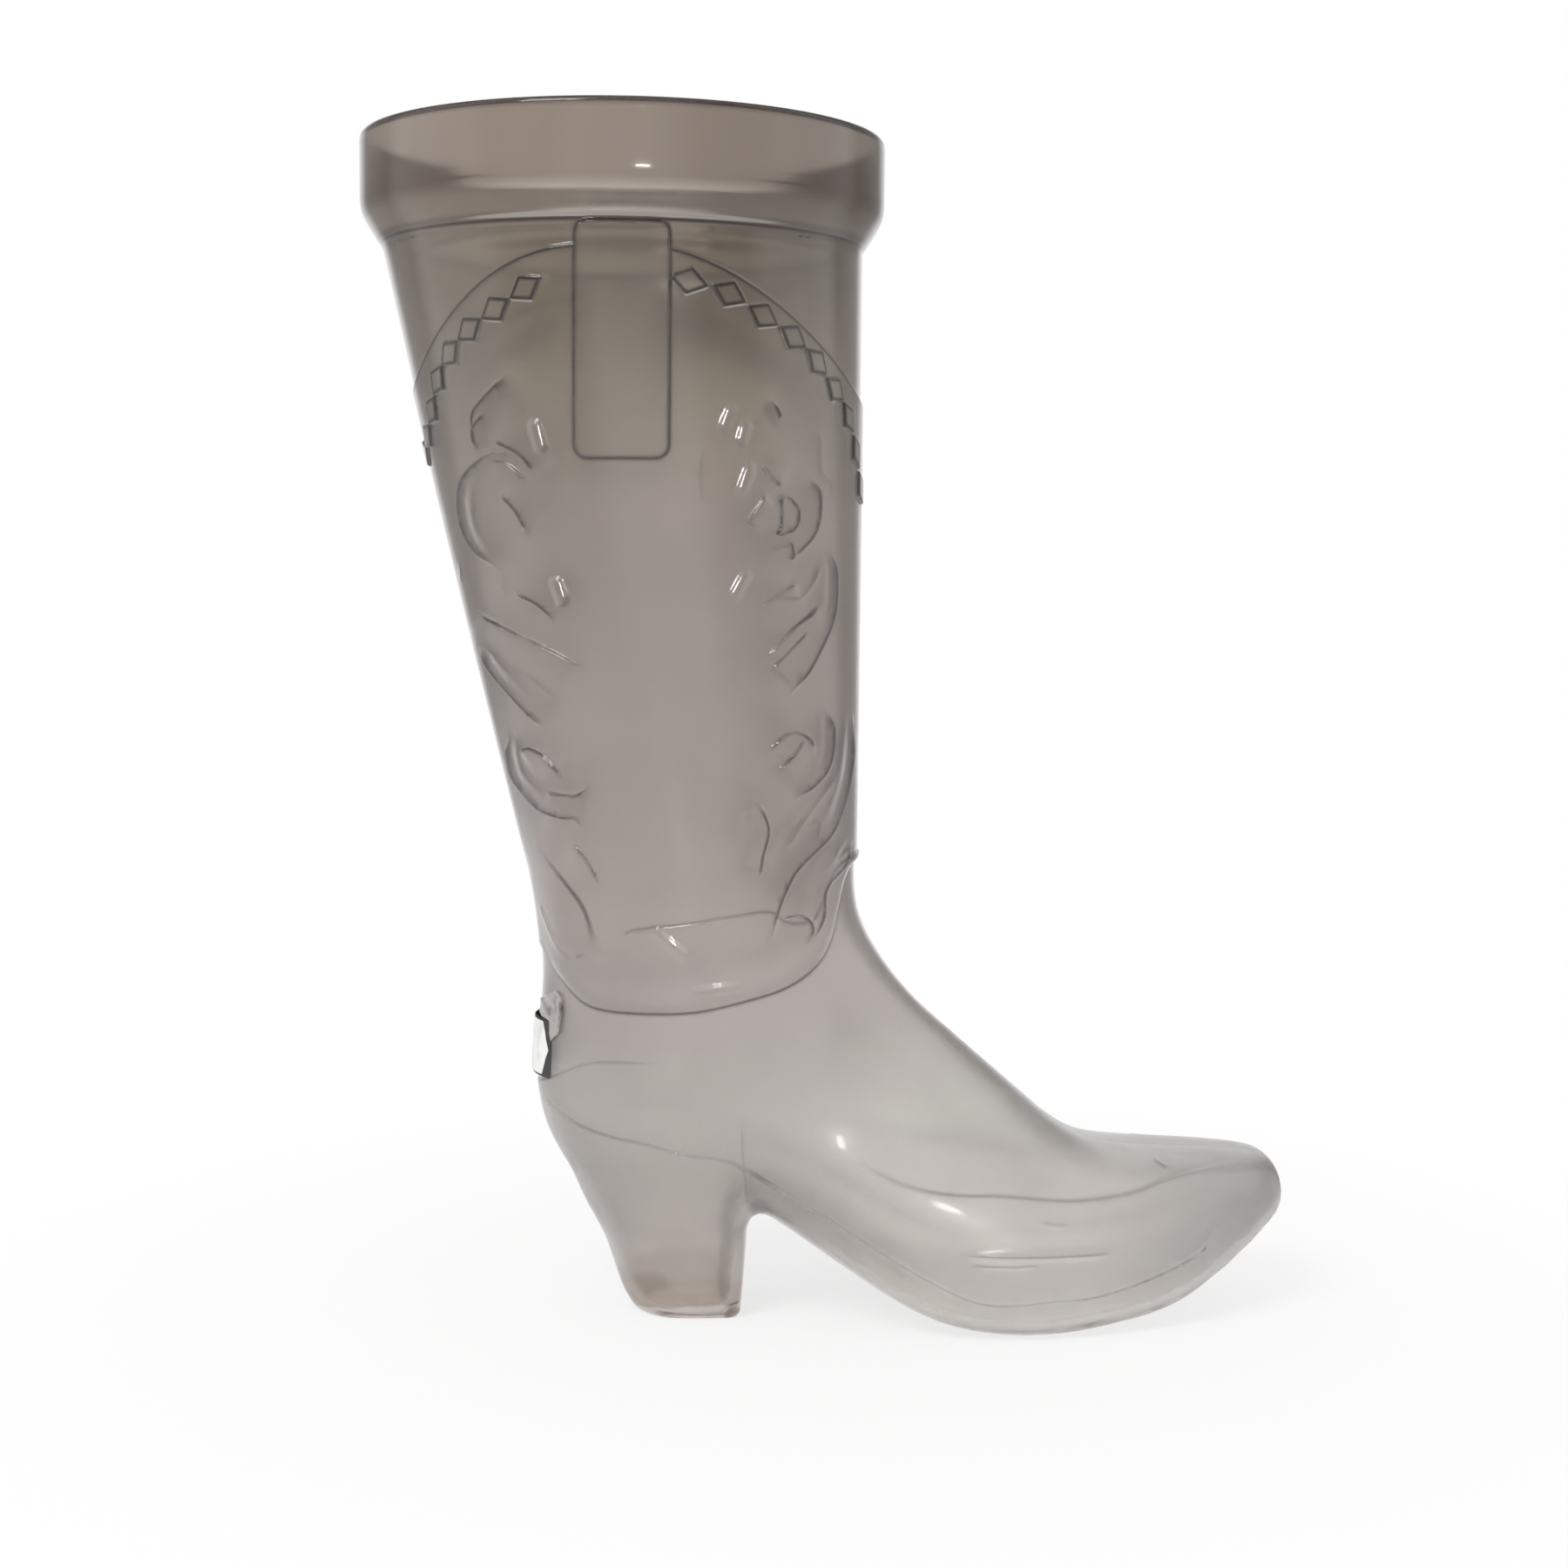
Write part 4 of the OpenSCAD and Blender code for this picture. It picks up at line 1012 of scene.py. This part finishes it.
def crumple(y, z):
    """The film's lift in mm: two sets of creases, 4.3 and 3.4 mm apart, which stand up towards its near end."""
    fold = np.abs(((y * 0.9 + z * 0.5) / 4.3) % 1 - 0.5) + np.abs(((z * 1.1 - y * 0.35) / 3.4) % 1 - 0.5)
    return 0.1 + 0.5 * np.clip(fold, 0, 1) * np.clip((-y - 0.5) / 5, 0.15, 1)


def wrapper_film():
    material = bpy.data.materials.new("crumpled wrapper film")
    material.use_nodes = True
    tree = material.node_tree
    shader = tree.nodes["Principled BSDF"]
    place = add(tree, "ShaderNodeTexCoord").outputs["Object"]
    # The near edge is folded over and dirty, in a ragged band about 2 mm wide, with smudges of 3 mm
    ragged = add(tree, "ShaderNodeTexNoise", {"Vector": place, "Scale": 1 / 0.0025, "Detail": 2.0}).outputs[0]
    across = add(tree, "ShaderNodeSeparateXYZ", {0: place}).outputs["Y"]
    shift = add(tree, "ShaderNodeMath", {0: ragged, 1: 0.004, 2: across}, operation="MULTIPLY_ADD").outputs[0]
    dirt = add(tree, "ShaderNodeMapRange", {"Value": shift, "From Min": -0.0122, "From Max": -0.0108, "To Min": 1.0,
                                            "To Max": 0.0}).outputs[0]
    smudge = add(tree, "ShaderNodeMapRange", {"Value": ragged, "From Min": 0.5, "From Max": 0.75,
                                              "To Max": 0.5}).outputs[0]
    most = add(tree, "ShaderNodeMath", {0: dirt, 1: smudge}, operation="MAXIMUM").outputs[0]
    colour = add(tree, "ShaderNodeMix", {0: most, 6: linear("#C9C1BE"), 7: linear("#4E4042")}, data_type="RGBA")
    tree.links.new(colour.outputs[2], shader.inputs["Base Color"])
    shader.inputs["Roughness"].default_value = 0.22
    shader.inputs["Transmission Weight"].default_value = 0.4
    shader.inputs["IOR"].default_value = 1.5
    return material


def film_low(y):
    """The torn lower edge."""
    return np.interp(y, [-15.2, -14.4, -11.1, -10.7, -1], [56.8, 53.0, 50.9, 54.5, 54.9])


def film_high(y):
    """The torn upper edge."""
    return np.interp(y, [-15.2, -14.6, -12.6, -4.9, -1], [57.6, 59.4, 60.2, 57.8, 57.0])


film_data = back_sheet("label_film", *FILM_Y, film_low, film_high, crumple, 0.06, 70, 30)
film_data.materials.append(wrapper_film())
film = bpy.data.objects.new("film_scrap", film_data)
scene.collection.objects.link(film)
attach(film, "root")
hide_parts("label_film")


# Stage
# The cup stands on pale card in a white room. A soft box lights it, and a small window behind the camera
# puts the crisp glints on the plastic.
floor_data = bpy.data.meshes.new("floor")
tool = bmesh.new()
bmesh.ops.create_circle(tool, cap_ends=True, segments=96, radius=30.0)
tool.to_mesh(floor_data)
tool.free()
floor = bpy.data.objects.new("floor", floor_data)
scene.collection.objects.link(floor)


def side_cards(tree, way):
    """White before, behind and at both ends of the cup, with grey cards between that draw its outline."""
    parts = add(tree, "ShaderNodeVectorMath", {0: way}, operation="ABSOLUTE").outputs[0]
    parts = add(tree, "ShaderNodeSeparateXYZ", {0: parts}).outputs
    facing = add(tree, "ShaderNodeMath", {0: parts["X"], 1: parts["Y"]}, operation="MAXIMUM").outputs[0]
    return add(tree, "ShaderNodeValToRGB", {0: facing}, stops=[(0.85, "#AEABA8"), (0.94, "#FFFFFF")]).outputs[0]


card = bpy.data.materials.new("pale card")
card.use_nodes = True
tree = card.node_tree
tree.nodes.clear()
place = add(tree, "ShaderNodeTexCoord").outputs["Object"]
reach = add(tree, "ShaderNodeVectorMath", {0: place}, operation="LENGTH").outputs["Value"]
# Near the cup the card keeps a quarter of its shade, and from 200 mm on it is white
blank = add(tree, "ShaderNodeMapRange", {"Value": reach, "From Min": 0.03, "From Max": 0.2, "To Min": 0.75},
            interpolation_type="SMOOTHSTEP").outputs[0]
ray = add(tree, "ShaderNodeLightPath").outputs
seen = add(tree, "ShaderNodeMath", {0: ray["Is Camera Ray"], 1: ray["Is Glossy Ray"]},
           operation="MAXIMUM").outputs[0]
seen = add(tree, "ShaderNodeMath", {0: seen, 1: ray["Is Transmission Ray"]}, operation="MAXIMUM").outputs[0]
share = add(tree, "ShaderNodeMath", {0: blank, 1: seen}, operation="MULTIPLY").outputs[0]
fibre = add(tree, "ShaderNodeTexNoise", {"Vector": place, "Scale": 1 / 0.002, "Detail": 3.0}).outputs[0]
paper = add(tree, "ShaderNodeMix", {0: fibre, 6: linear("#F4F4F3"), 7: linear("#FAFAF9")},
            data_type="RGBA").outputs[2]
matt = add(tree, "ShaderNodeBsdfDiffuse", {"Color": paper}).outputs[0]
# Further out, reflections and what is seen through the plastic meet the grey cards on the floor too
flat = add(tree, "ShaderNodeVectorMath", {0: place}, operation="NORMALIZE").outputs[0]
far = add(tree, "ShaderNodeMapRange", {"Value": reach, "From Min": 0.25, "From Max": 0.7},
          interpolation_type="SMOOTHSTEP").outputs[0]
beyond = add(tree, "ShaderNodeMath", {0: far, 1: ray["Is Camera Ray"]}, operation="SUBTRACT",
             use_clamp=True).outputs[0]
cards = add(tree, "ShaderNodeMix", {0: beyond, 6: (1, 1, 1, 1), 7: side_cards(tree, flat)},
            data_type="RGBA").outputs[2]
white_light = add(tree, "ShaderNodeEmission", {"Color": cards, "Strength": 1.0}).outputs[0]
mixed = add(tree, "ShaderNodeMixShader", {0: share, 1: matt, 2: white_light}).outputs[0]
add(tree, "ShaderNodeOutputMaterial", {"Surface": mixed})
floor_data.materials.append(card)

world = bpy.data.worlds.new("studio")
scene.world = world
world.use_nodes = True
tree = world.node_tree
tree.nodes.clear()
ray = add(tree, "ShaderNodeLightPath").outputs
way = add(tree, "ShaderNodeTexCoord").outputs["Generated"]
flat = add(tree, "ShaderNodeVectorMath", {0: way, 1: (1, 1, 0)}, operation="MULTIPLY").outputs[0]
flat = add(tree, "ShaderNodeVectorMath", {0: flat}, operation="NORMALIZE").outputs[0]
room = side_cards(tree, flat)
clear = add(tree, "ShaderNodeMath", {0: ray["Is Glossy Ray"], 1: ray["Is Transmission Ray"]},
            operation="MAXIMUM").outputs[0]
soft = add(tree, "ShaderNodeBackground", {"Color": (1, 1, 1, 1), "Strength": 0.55}).outputs[0]
around = add(tree, "ShaderNodeBackground", {"Color": room, "Strength": 1.0}).outputs[0]
plain = add(tree, "ShaderNodeBackground", {"Color": (1, 1, 1, 1), "Strength": 1.0}).outputs[0]
inner_mix = add(tree, "ShaderNodeMixShader", {0: clear, 1: soft, 2: around}).outputs[0]
outer_mix = add(tree, "ShaderNodeMixShader", {0: ray["Is Camera Ray"], 1: inner_mix, 2: plain}).outputs[0]
add(tree, "ShaderNodeOutputWorld", {"Surface": outer_mix})


def lamp(name, place, aim, size, power):
    """A flat lamp, with its sizes in metres and its power in watts."""
    light = bpy.data.lights.new(name, "AREA")
    light.shape = "RECTANGLE"
    light.size, light.size_y = size
    light.energy = power
    thing = bpy.data.objects.new(name, light)
    thing.location = place
    thing.rotation_euler = (Vector(aim) - Vector(place)).to_track_quat("-Z", "Y").to_euler()
    scene.collection.objects.link(thing)


lamp("soft_box", (-0.55, -0.75, 1.0), (0, 0, 0.08), (0.5, 0.5), 9.0)
lamp("window", (0.12, -1.18, 0.28), (0, 0, 0.1), (0.11, 0.06), 1.3)

# Camera: in front of the shaft and a little to the left of it, looking slightly down
yaw, pitch, roll = (math.radians(a) for a in (3.722, -4.928, 0.416))
ahead = Vector((math.sin(yaw) * math.cos(pitch), math.cos(yaw) * math.cos(pitch), math.sin(pitch)))
right = ahead.cross(Vector((0, 0, 1))).normalized()
above = right.cross(ahead)
side = math.cos(roll) * right + math.sin(roll) * above
top = -math.sin(roll) * right + math.cos(roll) * above
lens = bpy.data.cameras.new("camera")
lens.lens, lens.sensor_width, lens.clip_start, lens.clip_end = 57.577, 36.0, 0.01, 100.0
camera = bpy.data.objects.new("camera", lens)
camera.matrix_world = Matrix((side, top, -ahead)).transposed().to_4x4()
camera.location = (-0.037635, -0.45279, 0.135077)
scene.collection.objects.link(camera)
scene.camera = camera
scene.view_settings.view_transform = "Standard"
